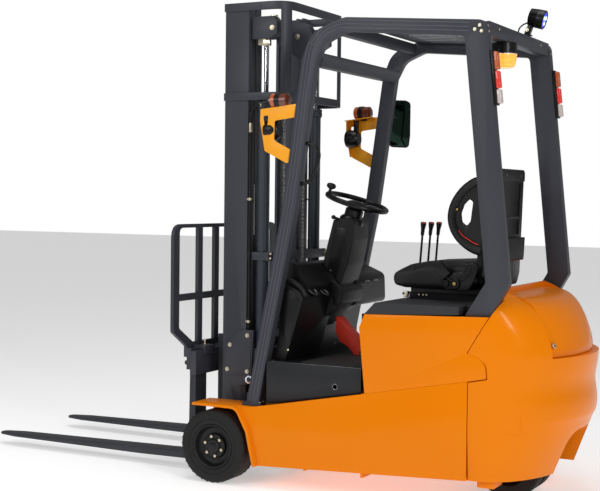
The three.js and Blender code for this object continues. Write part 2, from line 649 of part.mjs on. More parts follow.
function seatBack() {
  const x = CUSHION_REAR - SEAT_GAP;
  const back = slabXZ(rounded([[x, PAN_Z + 6], [x - 4, 1240, 60], [x - 28, 1440, 30], [x - 44, BACK_TOP, 30],
    [BACK_REAR - 16, BACK_TOP - 10, 30], [BACK_REAR, 1150, 60], [BACK_REAR, PAN_Z + 30, 30], [x - 40, PAN_Z + 6]]),
  -BACK_HALF, BACK_HALF);
  const wings = SIDES.map(([, s]) => cut(
    slabXZ(rounded([[x - 20, 1070, 30], [x + 40, 1090, 60], [x + WING, 1180, 80], [x + WING, 1300, 90],
      [x + 30, 1440, 80], [x - 30, 1450, 30]]), s * (BACK_HALF - 2), s * (BACK_HALF + 42)),
    slabXZ(rounded([[x + 5, 1190, 30], [x + 55, 1200, 40], [x + 65, 1270, 40], [x + 30, 1360, 30], [x, 1365, 20]]),
      s * (BACK_HALF - 5), s * (BACK_HALF + 50)),
  ));
  return join(back, ...wings);
}

piece('seat_base', look(BLACK, 0.7), seatBase());
piece('seat_cushion', look(BLACK, 0.8), seatCushion());
piece('seat_back', look(BLACK, 0.8), seatBack());

function levers() {
  const parts = [box(-900, -650, -485, -300, HOOD_Z + SEAT_GAP, HOOD_Z + 60)];
  for (let i = 0; i < 3; i += 1) {
    const [x, y] = [-690 - 20 * i, -335 - 55 * i];
    parts.push(bar([x + 18, y, HOOD_Z + 52], [x + 2, y, HOOD_Z + 285], 6, 12));
    parts.push(bar([x + 3, y, HOOD_Z + 275], [x - 4, y, HOOD_Z + 342], 12, 12));
  }
  return join(...parts);
}

piece('control_levers', look(BLACK, 0.6), levers());

// ---- Overhead guard -----------------------------------------------------

const LEG_IN = GUARD_OUT - LEG_T;
const RAIL_T = 62;
const ROOF_X = -633;           // the roof starts to fall here
const GUARD_REAR = -1290;

function roofZ(x) {
  return GUARD_Z - (GUARD_DROP * (x - ROOF_X)) / (GUARD_REAR - ROOF_X);
}

const BEND_REAR = [-1408, 985];  // the rear legs bend forward below this
const BEND_FRONT = [-1306, 990];

function guardSide(s) {
  const foot = FENDER_TOP + 14 + SEAT_GAP;
  const rearTop = GUARD_Z - GUARD_DROP;
  const outer = rounded([
    [-150, foot], [-330, 1300, 0], [-420, 1960, 0], [-470, 2085, 120], [ROOF_X, GUARD_Z, 80],
    [GUARD_REAR, rearTop, 40], [...BEND_REAR, 20], [LEG_FOOT_REAR, LEG_FOOT_Z + SEAT_GAP],
    [-1218, LEG_FOOT_Z + SEAT_GAP], [...BEND_FRONT, 20], [-1196, rearTop - RAIL_T, 30],
    [ROOF_X - 7, GUARD_Z - RAIL_T, 60], [-535, 2035, 80], [-490, 1950, 0], [-398, 1300, 0], [-212, foot],
  ]);
  const pad = box(-225, -130, s * (LEG_IN - 6), s * (GUARD_OUT + 6), FENDER_TOP + SEAT_GAP, foot + 2);
  return join(slabXZ(outer, s * LEG_IN, s * GUARD_OUT), pad);
}

const BEAM_X = [-506, -458];   // front cross beam
const BEAM_Z = [1932, 1992];

function guardFrame() {
  const parts = SIDES.map(([, s]) => guardSide(s));
  const half = LEG_IN + 1;
  parts.push(box(...BEAM_X, -half, half, ...BEAM_Z));
  parts.push(box(GUARD_REAR, GUARD_REAR + 50, -half, half, roofZ(GUARD_REAR) - 60, roofZ(GUARD_REAR)));
  parts.push(box(-600, -560, -half, half, roofZ(-600) - 70, roofZ(-600) - 20));
  return join(...parts);
}

const ROOF_T = 4;
const ROOF_DEPTH = 14;         // top of the rails down to the roof plate

function guardRoof() {
  const [x0, x1] = [-604, GUARD_REAR + 54];
  const low = (x) => roofZ(x) - ROOF_DEPTH;
  const half = LEG_IN - SEAT_GAP;
  const plate = slabXZ([[x0, low(x0)], [x1, low(x1)], [x1, low(x1) + ROOF_T], [x0, low(x0) + ROOF_T]], -half, half);
  const slots = [];
  for (let i = 0; i < 12; i += 1) {
    const y = 66 * (i - 5.5);
    slots.push(box(-690, -900, y - 20, y + 20, 2000, 2300));
    slots.push(box(-940, -1150, y - 20, y + 20, 2000, 2300));
  }
  return cut(plate, ...slots);
}

piece('guard', look(SLATE, 0.4), guardFrame());
piece('guard_roof', look(SLATE, 0.4), guardRoof());

// ---- Mast ---------------------------------------------------------------

const WEB = 14;
const FLANGE = 14;
const MAST_REAR = MAST_FRONT - MAST_DEPTH;
const RAIL_IN = 250;           // inner edge of the outer channels' flanges
const CAGE_REAR = -262;
const CAGE_CORNER = 98;
const CAGE_LOW = 1800;
const CAGE_T = 12;
const MAST_FOOT = 96;
const TIE_REAR = MAST_REAR - RUN_GAP - 14;
const CYL_X = -112;
const CYL_Y = 266;
const BARREL_R = 32;
const ROD_R = 21;
const CROSS_X = CYL_X - BARREL_R - 20;   // rear face of the cross plates behind the cylinders
const CROSS_T = 13;
const CROSS_LOW = [560, 620];
const CROSS_HIGH = [1036, 1080];
const CYL_FOOT = 132;
const CLAMP_OUT = MAST_OUT - 6;
const COVER_OUT = TILT_Y - 12;
const LINK_W = 12;             // half width of the lift chain
const CHAIN_T = 10;            // half thickness

function channel(s, x0, x1, yIn, yOut, z0, z1, web, flange) {
  const hollow = box(x0 + flange, x1 - flange, s * (yIn - 1), s * (yOut - web), z0 - 1, z1 + 1);
  return cut(box(x0, x1, s * yIn, s * yOut, z0, z1), hollow);
}

// A band that runs round the back of the mast.
function cageBand(z0, z1) {
  const t = CAGE_T;
  const half = MAST_OUT + t;
  const ring = (x, y, corner) => rounded([[MAST_FRONT, y], [x, y, corner], [x, -y, corner], [MAST_FRONT, -y]]);
  const inside = slabXY(ring(CAGE_REAR + t, half - t, CAGE_CORNER - t), z0 - 1, z1 + 1);
  return cut(slabXY(ring(CAGE_REAR, half, CAGE_CORNER), z0, z1),
    inside.intersect(box(CAGE_REAR, MAST_FRONT, -MAST_OUT, MAST_OUT, z0 - 2, z1 + 2)),
    box(0, MAST_FRONT + 9, -MAST_OUT, MAST_OUT, z0 - 1, z1 + 1));
}

// Everything on one side of the outer mast.
function mastSide(s) {
  const clampY = [s * (RAIL_IN + 4), s * CLAMP_OUT];
  return join(
    channel(s, MAST_REAR, MAST_FRONT, RAIL_IN, MAST_OUT, MAST_FOOT, MAST_TOP, WEB, FLANGE),
    cageBand(CAGE_LOW, MAST_TOP - 1).intersect(
      box(CAGE_REAR - 1, CAGE_REAR + 40, s * (MAST_OUT - 48), s * (MAST_OUT + 20), CAGE_LOW, MAST_TOP)),
    box(CYL_X - 44, MAST_REAR + 2, s * (CYL_Y - 34), s * (CYL_Y + 34), CYL_FOOT - 20, CYL_FOOT),
    box(CYL_X - BARREL_R - 8, MAST_REAR + 2, ...clampY, CROSS_HIGH[0] + 4, CROSS_HIGH[1] - 4),
    box(CYL_X - BARREL_R - 8, MAST_REAR + 2, ...clampY, CROSS_LOW[0] + 4, CROSS_LOW[1] - 4),
    box(TIE_REAR, MAST_REAR + 2, ...clampY, 320, 400),
    slabXZ(rounded([[-97, 704], [-20, 704, 10], [66, 620, 10], [66, 484, 25], [-84, 478]]),
      s * (MAST_OUT - 1), s * COVER_OUT),
    slabXZ(rounded([[TILT_EYE_X - 14, TILT_Z - 16, 10], [TILT_EYE_X - 14, TILT_Z + 16, 10],
      [MAST_REAR + 30, TILT_Z + 40], [MAST_REAR + 30, TILT_Z - 40]]), s * (MAST_OUT - 1), s * COVER_OUT),
    bar([TILT_EYE_X, s * (MAST_OUT + 2), TILT_Z], [TILT_EYE_X, s * (TILT_Y + 11), TILT_Z], 10, 16),
  );
}

function outerMast() {
  const half = CLAMP_OUT;
  const parts = [
    ...SIDES.map(([, s]) => mastSide(s)),
    cageBand(MAST_TOP - 38, MAST_TOP),
    cageBand(CAGE_LOW, CAGE_LOW + 36),
    box(TIE_REAR, TIE_REAR + 12, -RAIL_IN - 10, RAIL_IN + 10, 320, 400),
    box(CROSS_X, CROSS_X + CROSS_T, -half, half, ...CROSS_HIGH),
    box(CROSS_X, CROSS_X + CROSS_T, -half, half, ...CROSS_LOW),
    box(CHAIN_X - CHAIN_T - 4, CROSS_X + 2, -LINK_W - 4, LINK_W + 4, CROSS_LOW[0] + 10, CROSS_LOW[1] - 20),
  ];
  const eyes = SIDES.map(([, s]) => bar([0, s * (MAST_OUT - WEB - 10), AXLE_Z], [0, s * (MAST_OUT + 10), AXLE_Z],
    PIVOT_R + 0.6));
  const fit = BARREL_R + SEAT_GAP;
  const barrels = SIDES.map(([, s]) => turnedZ([[0, CYL_FOOT - 2], [fit, CYL_FOOT - 2], [fit, 1700], [0, 1700]],
    CYL_X, s * CYL_Y));
  return cut(join(...parts), ...eyes, ...barrels);
}

const INNER_OUT = RAIL_IN - RUN_GAP;
const INNER_WEB = 12;
const INNER_IN = INNER_OUT - 52;
const INNER_FOOT = 270;
const ROLLER_GAP = 0.5;        // rollers run in the channels
const ROLLER_R = (MAST_DEPTH - 2 * FLANGE) / 2 - ROLLER_GAP;
const MAST_MID = MAST_FRONT - MAST_DEPTH / 2;
const HEAD_Z = [2091, 2197];   // brackets over the cylinder rods
const SHEAVE_R = 55;
const SHEAVE_Z = 2130;
const SHEAVE_X = CHAIN_X + SHEAVE_R;
const SHEAVE_HALF = 16;

function sheaveCheek(s) {
  const outline = rounded([[MAST_REAR + 5, 2199], [CHAIN_X - 30, 2199, 60], [CHAIN_X - 62, 2130, 60],
    [CHAIN_X - 50, 2040, 60], [CHAIN_X + 10, 2018, 40], [MAST_REAR + 5, 2100]]);
  return slabXZ(outline, s * (SHEAVE_HALF + 3), s * (SHEAVE_HALF + 11));
}

function innerMast() {
  const back = [MAST_REAR, MAST_REAR + 11];
  const parts = [
    box(...back, -INNER_OUT + 1, INNER_OUT - 1, 2120, 2200),
    box(...back, -INNER_OUT + 1, INNER_OUT - 1, INNER_FOOT + 20, INNER_FOOT + 80),
    bar([SHEAVE_X, -SHEAVE_HALF - 4, SHEAVE_Z], [SHEAVE_X, SHEAVE_HALF + 4, SHEAVE_Z], 12, 16),
  ];
  SIDES.forEach(([, s]) => {
    parts.push(channel(s, MAST_REAR, MAST_FRONT, INNER_IN, INNER_OUT, INNER_FOOT, MAST_TOP - 10, INNER_WEB, FLANGE));
    parts.push(cut(slabXZ([[-146, HEAD_Z[0]], [-191, HEAD_Z[0] + 24], [-191, HEAD_Z[1] - 26], [-170, HEAD_Z[1]],
      [MAST_REAR + 2, HEAD_Z[1]], [MAST_REAR + 2, HEAD_Z[0]]], s * (INNER_OUT - 10), s * (CYL_Y + 26)),
    box(MAST_REAR - RUN_GAP, MAST_REAR + 10, s * INNER_OUT, s * 330, HEAD_Z[0] - 10, HEAD_Z[1] + 10)));
    parts.push(sheaveCheek(s));
    [420, 620].forEach((z) => parts.push(bar([MAST_MID, s * (INNER_OUT - 4), z],
      [MAST_MID, s * (MAST_OUT - WEB - ROLLER_GAP), z], ROLLER_R, 32)));
  });
  return join(...parts);
}

function chainSheave() {
  const bore = 12 + ROLLER_GAP;
  const half = SHEAVE_HALF;
  const root = SHEAVE_R - CHAIN_T - ROLLER_GAP;
  return turnedY([[bore, -half], [SHEAVE_R, -half], [SHEAVE_R, -LINK_W - 1], [root, -LINK_W - 1],
    [root, LINK_W + 1], [SHEAVE_R, LINK_W + 1], [SHEAVE_R, half], [bore, half], [bore, -half]],
  SHEAVE_X, SHEAVE_Z, 24);
}

function chainRun(x, foot) {
  return box(x - CHAIN_T, x + CHAIN_T, -LINK_W, LINK_W, foot + SEAT_GAP, SHEAVE_Z);
}

piece('outer_mast', look(SLATE, 0.4), outerMast());
piece('inner_mast', look(SLATE, 0.4), innerMast());

const ROD_FOOT = 190;
const BARREL_TOP = 1794;
const HOSE_R = 6.5;

SIDES.forEach(([side, s]) => {
  const bore = ROD_R + 0.5;
  const barrel = [[0, CYL_FOOT + SEAT_GAP], [BARREL_R, CYL_FOOT + SEAT_GAP], [BARREL_R, BARREL_TOP - 40],
    [BARREL_R + 5, BARREL_TOP - 40], [BARREL_R + 5, BARREL_TOP], [bore, BARREL_TOP], [bore, ROD_FOOT - 8],
    [0, ROD_FOOT - 8]];
  piece(`lift_cylinder_${side}`, look(SLATE, 0.4), turnedZ(barrel, CYL_X, s * CYL_Y));
  const rod = bar([CYL_X, s * CYL_Y, ROD_FOOT], [CYL_X, s * CYL_Y, HEAD_Z[0] - SEAT_GAP], ROD_R);
  piece(`lift_rod_${side}`, look(CHROME, 0.15, 0.9), rod);
});

SIDES.forEach(([side, s]) => {
  const y = s * (MAST_OUT + 3);
  const x = MAST_REAR - HOSE_R - 10;
  const pipe = join(bar([x, y, 712], [x, y, 1700], HOSE_R, 10),
    hose([[x, y, 1699], [x, y, 1720], [x - 10, y, 1750], [x - 26, y, 1770], [CYL_X, y, 1776]], HOSE_R, 12, 10));
  const seatY = MAST_OUT + SEAT_GAP;
  const clips = [745, 1330].map((z) => box(MAST_REAR + SEAT_GAP, x - 8, y - 9, y + 9, z - 5, z + 5)
    .subtract(box(MAST_REAR - SEAT_GAP, MAST_REAR + 40, -seatY, seatY, z - 9, z + 9)));
  const union = bar([CYL_X, s * (CYL_Y + BARREL_R + 5 + SEAT_GAP), 1775], [CYL_X, y, 1775], 9, 12);
  piece(`mast_hose_${side}`, look(BLACK, 0.7), join(pipe, ...clips, union));
});

// ---- Carriage, backrest, forks ------------------------------------------

const BAR_X = FORK_FACE - 76;            // rear face of the carriage bars
const BAR_FRONT = FORK_FACE - 42;
const FORK_HEEL = FORK_FACE - 40;
const CARRIAGE_HALF = 395;
const CARRIAGE_IN = INNER_IN - RUN_GAP;
const BAR_TOP = 592;
const ANCHOR_Z = [580, 602];             // lug that the chain pulls the carriage up by
const FRONT_RUN_X = SHEAVE_X + SHEAVE_R;

function carriage() {
  const parts = [
    box(BAR_X, BAR_FRONT, -CARRIAGE_HALF, CARRIAGE_HALF, BAR_TOP - 115, BAR_TOP),
    box(BAR_X, BAR_FRONT, -CARRIAGE_HALF, CARRIAGE_HALF, 130, 210),
    box(-32, -20, -CARRIAGE_IN + 4, CARRIAGE_IN - 4, 560, 640),
    box(FRONT_RUN_X - CHAIN_T - 4, -22, -LINK_W - 1, LINK_W + 1, ...ANCHOR_Z),
  ];
  SIDES.forEach(([, s]) => {
    parts.push(box(MAST_REAR + 18, BAR_X + 2, s * (CARRIAGE_IN - 18), s * CARRIAGE_IN, 125, 660));
    [300, 580].forEach((z) => parts.push(bar([MAST_MID, s * (CARRIAGE_IN - 4), z],
      [MAST_MID, s * (INNER_OUT - INNER_WEB - ROLLER_GAP), z], ROLLER_R, 32)));
  });
  return join(...parts);
}

const REST_HALF = 505;
const REST_TOP = 1206;
const REST_T = 18;
const REST_BARS = [115, 268];            // centre lines of the inner uprights

function backrest() {
  const [x0, x1] = [FORK_FACE - REST_T, FORK_FACE];
  const ring = (half, bottom, top, corner, knee, foot) => rounded([[-foot, bottom], [-half, knee, 20],
    [-half, top, corner], [half, top, corner], [half, knee, 20], [foot, bottom]], 8);
  const parts = [cut(slabYZ(ring(REST_HALF, 590, REST_TOP, 70, 690, 350), x0, x1),
    slabYZ(ring(REST_HALF - 50, 628, REST_TOP - 18, 30, 705, 330), x0 - 1, x1 + 1))];
  SIDES.forEach(([, s]) => {
    REST_BARS.forEach((y) => parts.push(box(x0, x1, s * (y - 20), s * (y + 20), 600, REST_TOP - 10)));
    parts.push(box(BAR_FRONT + SEAT_GAP, x1, s * 95, s * 135, 500, 604));
    parts.push(box(BAR_FRONT + SEAT_GAP, x0 + 2, s * 345, s * 385, 500, 604));
    parts.push(box(x0, x1, s * 345, s * 385, 560, 640));
  });
  parts.push(box(x0, x1, -REST_HALF + 10, REST_HALF - 10, 836, 868));
  return join(...parts);
}

function fork(s) {
  const tip = FORK_FACE + FORK_LENGTH;
  const tipTop = FORK_Z - FORK_DROP;
  const profile = rounded([
    [FORK_HEEL, 560], [FORK_HEEL, FORK_Z - FORK_T, 40], [FORK_FACE + 300, FORK_Z - FORK_T - 5],
    [tip, tipTop - 12], [tip, tipTop], [FORK_FACE, FORK_Z, 20], [FORK_FACE - 6, 560],
  ], 8);
  const y = s * FORK_SPREAD;
  const half = FORK_W / 2;
  const plan = rounded([[FORK_HEEL - 80, y - half], [tip - 120, y - half], [tip, y - half / 2, 30],
    [tip, y + half / 2, 30], [tip - 120, y + half], [FORK_HEEL - 80, y + half]]);
  const blade = slabXZ(profile, y - half, y + half).intersect(slabXY(plan, 0, 900));
  const shank = box(FORK_HEEL, FORK_FACE - REST_T - SEAT_GAP, y - half, y + half, 550, BAR_TOP + 22);
  const [h0, h1] = [y - half + 6, y + half - 6];
  const hook = box(BAR_X - 14, FORK_HEEL + 4, h0, h1, BAR_TOP + SEAT_GAP, BAR_TOP + 22);
  const lip = box(BAR_X - 14, BAR_X - SEAT_GAP, h0, h1, BAR_TOP - 20, BAR_TOP + 10);
  const restRoom = box(FORK_FACE - REST_T - SEAT_GAP, FORK_FACE + 1, y - half - 1, y + half + 1, 556, 600);
  return join(cut(blade, restRoom), shank, hook, lip);
}

piece('carriage', look(SLATE, 0.4), carriage());
piece('load_backrest', look(SLATE, 0.4), backrest());
SIDES.forEach(([side, s]) => piece(`fork_${side}`, look(SLATE, 0.45, 0.2), fork(s)));

piece('chain_sheave', look(STEEL, 0.4, 0.7), chainSheave());
piece('chain_rear_run', look(STEEL, 0.4, 0.7), chainRun(CHAIN_X, CROSS_LOW[1] - 20));
piece('chain_front_run', look(STEEL, 0.4, 0.7), chainRun(FRONT_RUN_X, ANCHOR_Z[1]));

// ---- Tilt cylinders -----------------------------------------------------

SIDES.forEach(([side, s]) => {
  const y = s * TILT_Y;
  const end = TILT_PIN_X + TILT_BARREL;
  const barrel = cut(
    join(bar([TILT_PIN_X + 20, y, TILT_Z], [end, y, TILT_Z], TILT_R),
      bar([TILT_PIN_X, y - 9, TILT_Z], [TILT_PIN_X, y + 9, TILT_Z], 24)),
    bar([TILT_PIN_X + 60, y, TILT_Z], [end + 1, y, TILT_Z], TILT_ROD_R + 0.5),
    bar([TILT_PIN_X, y - 20, TILT_Z], [TILT_PIN_X, y + 20, TILT_Z], 10.5, 16),
  );
  piece(`tilt_cylinder_${side}`, look(BLACK, 0.5, 0.3), barrel);
  const rod = join(bar([TILT_PIN_X + 200, y, TILT_Z], [TILT_EYE_X - 14, y, TILT_Z], TILT_ROD_R),
    cut(bar([TILT_EYE_X, y - 9, TILT_Z], [TILT_EYE_X, y + 9, TILT_Z], 20),
      bar([TILT_EYE_X, y - 12, TILT_Z], [TILT_EYE_X, y + 12, TILT_Z], 12, 16)));
  piece(`tilt_rod_${side}`, look(CHROME, 0.2, 0.9), rod);
});

// ---- Lamps, mirror, handle ----------------------------------------------

// Rear face of the rear guard legs at height z.
function legRear(z) {
  const rearTop = GUARD_Z - GUARD_DROP;
  return GUARD_REAR + ((BEND_REAR[0] - GUARD_REAR) * (rearTop - z)) / (rearTop - BEND_REAR[1]);
}

const LAMP_Z = [1736, 1966];
const LAMP_DEPTH = 34;

SIDES.forEach(([side, s]) => {
  const [z0, z1] = LAMP_Z;
  const seat = (z) => legRear(z) - 1;
  const lamp = slabXZ([[seat(z0), z0], [seat(z1), z1], [seat(z1) - LAMP_DEPTH, z1], [seat(z0) - LAMP_DEPTH, z0]],
    s * (LEG_IN + 6), s * (GUARD_OUT - 6));
  piece(`tail_lamp_${side}`, look(0xc8501a, 0.3), lamp);
});

const BEACON = [-1262, 148];
const BEACON_TOP = roofZ(GUARD_REAR) - 60 - SEAT_GAP;

piece('beacon', look(0xf08a12, 0.2), turnedZ([[0, BEACON_TOP - 110], [49, BEACON_TOP - 108],
  [57, BEACON_TOP - 44], [52, BEACON_TOP - 42], [52, BEACON_TOP], [0, BEACON_TOP]], ...BEACON));

const CABLE_R = 3.5;

// A spot lamp on the rear cross beam, with its short cable out of the beam.
function blueLamp() {
  const stub = roofZ(GUARD_REAR) + SEAT_GAP;
  const cable = hose([[-1250, -85, stub], [-1250, -86, 2120], [-1264, -95, 2142], [-1294, -112, 2158]], CABLE_R, 12);
  return join(bar([-1362, -124, 2163], [-1290, -118, 2182], 44, 28), box(-1288, -1268, -132, -108, stub, 2172), cable);
}

piece('blue_lamp', look(0x1b2a6b, 0.3), blueLamp());

// Front face of the front guard legs at height z, between their two bends.
function legFront(z) {
  return -330 - (90 * (z - 1300)) / (1960 - 1300);
}

// Work lamp: a pressed guard plate on the outside of the leg, with the lamp and the amber lamp in it.
function workLamp(s) {
  const plateY = [s * (GUARD_OUT + SEAT_GAP), s * (GUARD_OUT + 4)];
  const plate = cut(
    slabXZ(rounded([[-208, 1744, 14], [-270, 1750], [legFront(1762) - 20, 1764], [legFront(1700) - 20, 1700],
      [legFront(1500) - 20, 1540], [-346, 1496], [-232, 1552, 10], [-206, 1690, 20]]), ...plateY),
    slabXZ(rounded([[-282, 1690, 10], [legFront(1700) + 6, 1704], [legFront(1570) + 6, 1560], [-280, 1600, 8]]),
      s * GUARD_OUT, s * (GUARD_OUT + 5)),
    slabXZ(rounded([[-222, 1712, 8], [-250, 1716, 8], [-242, 1640, 5], [-234, 1640, 5]]),
      s * GUARD_OUT, s * (GUARD_OUT + 5)),
  );
  const flange = slabXZ([[-208, 1740], [-375, 1760], [-375, 1764], [-208, 1744]],
    s * (GUARD_OUT - 56), s * (GUARD_OUT + 3)).subtract(box(-420, legFront(1764) - 1, -500, 500, 1700, 1800));
  return join(plate, flange,
    bar([-222, s * 430, 1648], [-290, s * 430, 1648], 46, 24),
    box(-280, -262, s * 424, s * 436, 1690, 1752),
    bar([-254, s * 448, 1782], [-350, s * 448, 1782], 36, 20),
    box(-320, -290, s * 436, s * 460, 1740, 1760));
}

SIDES.forEach(([side, s]) => piece(`work_lamp_${side}`, look(0xf09a14, 0.4), workLamp(s)));

const MIRROR_TURN = 0.7;       // about the vertical, towards the driver
const MIRROR_HALF = 78;
const MIRROR_T = 14;
const MIRROR_Y = MIRROR_HALF * Math.cos(MIRROR_TURN) + (MIRROR_T / 2) * Math.sin(MIRROR_TURN) - MIRROR_OUT;
const MIRROR = [-448, MIRROR_Y, 1730];

function mirror() {
  const [x, y, z] = MIRROR;
  const glass = box(-MIRROR_T / 2, MIRROR_T / 2, -MIRROR_HALF, MIRROR_HALF, -124, 124);
  const turned = glass.rotate([0, 0, (-MIRROR_TURN * 180) / Math.PI]).translate([x, y, z]);
  const arm = cut(bar([-436, -GUARD_OUT + 5, z + 40], [x + 4, y + 4, z + 40], 9, 10),
    box(-460, -410, -GUARD_OUT - SEAT_GAP, -GUARD_OUT + 20, z, z + 80));
  return join(turned, arm);
}

piece('mirror', look(BLACK, 0.4), mirror());

function grabHandle() {
  const y = GUARD_OUT - LEG_T / 2;
  const leg = (z) => -398 - (92 * (z - 1300)) / (1950 - 1300);
  const [low, high] = [1402, 1586];
  const out = 62;
  const rail = hose([[leg(high) + 8, y, high], [leg(high) - 30, y, high - 6], [leg(high) - out, y, high - 44],
    [leg(low) - out, y, low + 44], [leg(low) - 30, y, low + 6], [leg(low) + 8, y, low]], 9, 20, 10);
  return cut(rail, slabXZ([[leg(low - 60) - SEAT_GAP, low - 60], [leg(high + 60) - SEAT_GAP, high + 60],
    [-300, high + 60], [-300, low - 60]], y - 20, y + 20));
}

piece('grab_handle', look(BLACK, 0.5), grabHandle());

truck.position.set(-(FORK_FACE + FORK_LENGTH + REAR_X) / 2, (MIRROR_OUT - TYRE_OUT) / 2, 0);

export default group;
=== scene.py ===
# %% [markdown]
# # A three-wheel electric forklift, piece by piece
# The solid model comes in first and fixes every size. It could be rebuilt here by eye, but then
# the pieces would drift. So each cell below asks the solid model where a piece is, and either
# gives that piece a finish or puts a finer piece in its place.

# %% Load the frame
import json
import math
import bmesh
import bpy
from mathutils import Matrix, Vector


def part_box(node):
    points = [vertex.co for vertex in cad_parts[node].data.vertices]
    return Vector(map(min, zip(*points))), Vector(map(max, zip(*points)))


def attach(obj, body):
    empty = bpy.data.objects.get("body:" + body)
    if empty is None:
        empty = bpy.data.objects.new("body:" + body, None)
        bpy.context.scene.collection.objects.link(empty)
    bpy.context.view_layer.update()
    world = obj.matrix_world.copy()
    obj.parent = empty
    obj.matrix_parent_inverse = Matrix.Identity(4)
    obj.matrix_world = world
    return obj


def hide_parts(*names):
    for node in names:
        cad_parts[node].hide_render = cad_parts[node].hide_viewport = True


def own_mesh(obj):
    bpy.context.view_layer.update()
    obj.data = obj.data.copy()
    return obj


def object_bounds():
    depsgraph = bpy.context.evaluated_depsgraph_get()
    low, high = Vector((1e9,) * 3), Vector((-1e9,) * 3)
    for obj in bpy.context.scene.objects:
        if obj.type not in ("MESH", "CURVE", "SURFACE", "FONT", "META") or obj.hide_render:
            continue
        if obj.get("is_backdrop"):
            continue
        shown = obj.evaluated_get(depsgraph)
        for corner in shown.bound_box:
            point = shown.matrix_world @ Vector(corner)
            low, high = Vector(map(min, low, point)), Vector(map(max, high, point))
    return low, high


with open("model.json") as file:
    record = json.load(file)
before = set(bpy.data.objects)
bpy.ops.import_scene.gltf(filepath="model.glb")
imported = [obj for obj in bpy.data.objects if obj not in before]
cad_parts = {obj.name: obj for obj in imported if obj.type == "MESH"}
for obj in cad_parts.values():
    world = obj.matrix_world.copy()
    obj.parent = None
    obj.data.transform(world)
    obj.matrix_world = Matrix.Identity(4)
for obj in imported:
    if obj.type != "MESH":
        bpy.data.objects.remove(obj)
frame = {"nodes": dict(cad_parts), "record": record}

SOLID_BOX = [list(corner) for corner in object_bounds()]
print("solid model:", [round(b - a, 3) for a, b in zip(*SOLID_BOX)], "m")

# %% [markdown]
# Sizes on a truck are easiest to read from its front axle, in millimetres: the floor is so far
# behind it and so high. The two front tyres give that point in the frame, and `at` turns such a
# reading into metres in the frame.

# %% Read positions from the front axle
tyre_low, tyre_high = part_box("tyre_left")
other_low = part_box("tyre_right")[0]
AXLE = Vector(((tyre_low.x + tyre_high.x) / 2, (tyre_high.y + other_low.y) / 2, 0))
MM = 0.001


def at(x, y, z):
    return AXLE + Vector((x, y, z)) * MM


print("front axle in the frame:", [round(v, 4) for v in AXLE])

# %% [markdown]
# The camera stands behind the truck on its left, a little above the hood, about seven metres
# off, with a long lens, so that the truck keeps its proportions. Its three turns are written as
# the directions it looks along and holds upright, which is easier to check than angles.

# %% Camera
EYE = at(-3071.2, 5500.5, 1342.7)
YAW, PITCH, ROLL = math.radians(27.7772), math.radians(-2.2127), math.radians(0.662)
LENS = 75.283
ahead = Vector((math.sin(YAW) * math.cos(PITCH), -math.cos(YAW) * math.cos(PITCH), math.sin(PITCH)))
side = ahead.cross(Vector((0, 0, 1))).normalized()
over = side.cross(ahead)
level = math.cos(ROLL) * side + math.sin(ROLL) * over
upright = -math.sin(ROLL) * side + math.cos(ROLL) * over
camera_data = bpy.data.cameras.new("camera")
camera_data.lens = LENS
camera_data.sensor_width = 36
camera = bpy.data.objects.new("camera", camera_data)
turn = Matrix((level, upright, -ahead)).transposed().to_4x4()
camera.matrix_world = Matrix.Translation(EYE) @ turn
bpy.context.scene.collection.objects.link(camera)
bpy.context.scene.camera = camera
print("camera at", [round(v, 2) for v in EYE])

# %% [markdown]
# A studio needs little: a pale floor, a pale room, and three broad lamps. Broad lamps are what
# glossy paint wants, because it shows them as long soft streaks. A small lamp would give a hard
# white dot instead.

# %% Floor and room
ROOM = bpy.context.scene
ROOM.view_settings.view_transform = "Standard"


def stand(name, mesh):
    thing = bpy.data.objects.new(name, mesh)
    ROOM.collection.objects.link(thing)
    return thing


def from_lists(name, corners, faces):
    mesh = bpy.data.meshes.new(name)
    mesh.from_pydata([tuple(c) for c in corners], [], faces)
    mesh.update()
    return mesh


FLOOR_HALF = 30
floor_plate = stand("studio_floor", from_lists("studio_floor", [
    (-FLOOR_HALF, -FLOOR_HALF, 0), (FLOOR_HALF, -FLOOR_HALF, 0),
    (FLOOR_HALF, FLOOR_HALF, 0), (-FLOOR_HALF, FLOOR_HALF, 0)], [(0, 1, 2, 3)]))
floor_plate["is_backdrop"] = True
ROOM_SEEN, ROOM_CAST = 1.0, 0.24
world = bpy.data.worlds.new("studio")
world.use_nodes = True
sky = world.node_tree
seen = sky.nodes.new("ShaderNodeLightPath")
level_of_light = sky.nodes.new("ShaderNodeMapRange")
level_of_light.inputs["To Min"].default_value = ROOM_CAST
level_of_light.inputs["To Max"].default_value = ROOM_SEEN
sky.links.new(seen.outputs["Is Camera Ray"], level_of_light.inputs["Value"])
sky.links.new(level_of_light.outputs["Result"], sky.nodes["Background"].inputs["Strength"])
sky.nodes["Background"].inputs["Color"].default_value = (1, 1, 1, 1)
ROOM.world = world


def softbox(name, place, aim, width, height, watts):
    light = bpy.data.lights.new(name, "AREA")
    light.shape = "RECTANGLE"
    light.size, light.size_y = width, height
    light.energy = watts
    lamp = stand(name, light)
    lamp.matrix_world = Matrix.Translation(place) @ (Vector(place) - Vector(aim)).to_track_quat("Z",
            "Y").to_matrix().to_4x4()
    return lamp


softbox("softbox_rear", (-5.2, 3.2, 3.2), (-0.9, 0.2, 0.8), 0.7, 3.2, 102)
softbox("softbox_side", (1.6, 5.6, 3.6), (-0.2, 0.2, 0.9), 3.2, 2.2, 88)
softbox("softbox_top", (-0.6, 0.6, 5.6), (-0.4, 0.1, 0.8), 3.5, 3.0, 98)

# %% [markdown]
# A finish is a small recipe of nodes. Written out by hand, each sum in it takes four lines, so
# `Wire` lets a socket be added and multiplied as a number is, and `Finish.node` makes any other
# node from its settings and the things plugged into it.

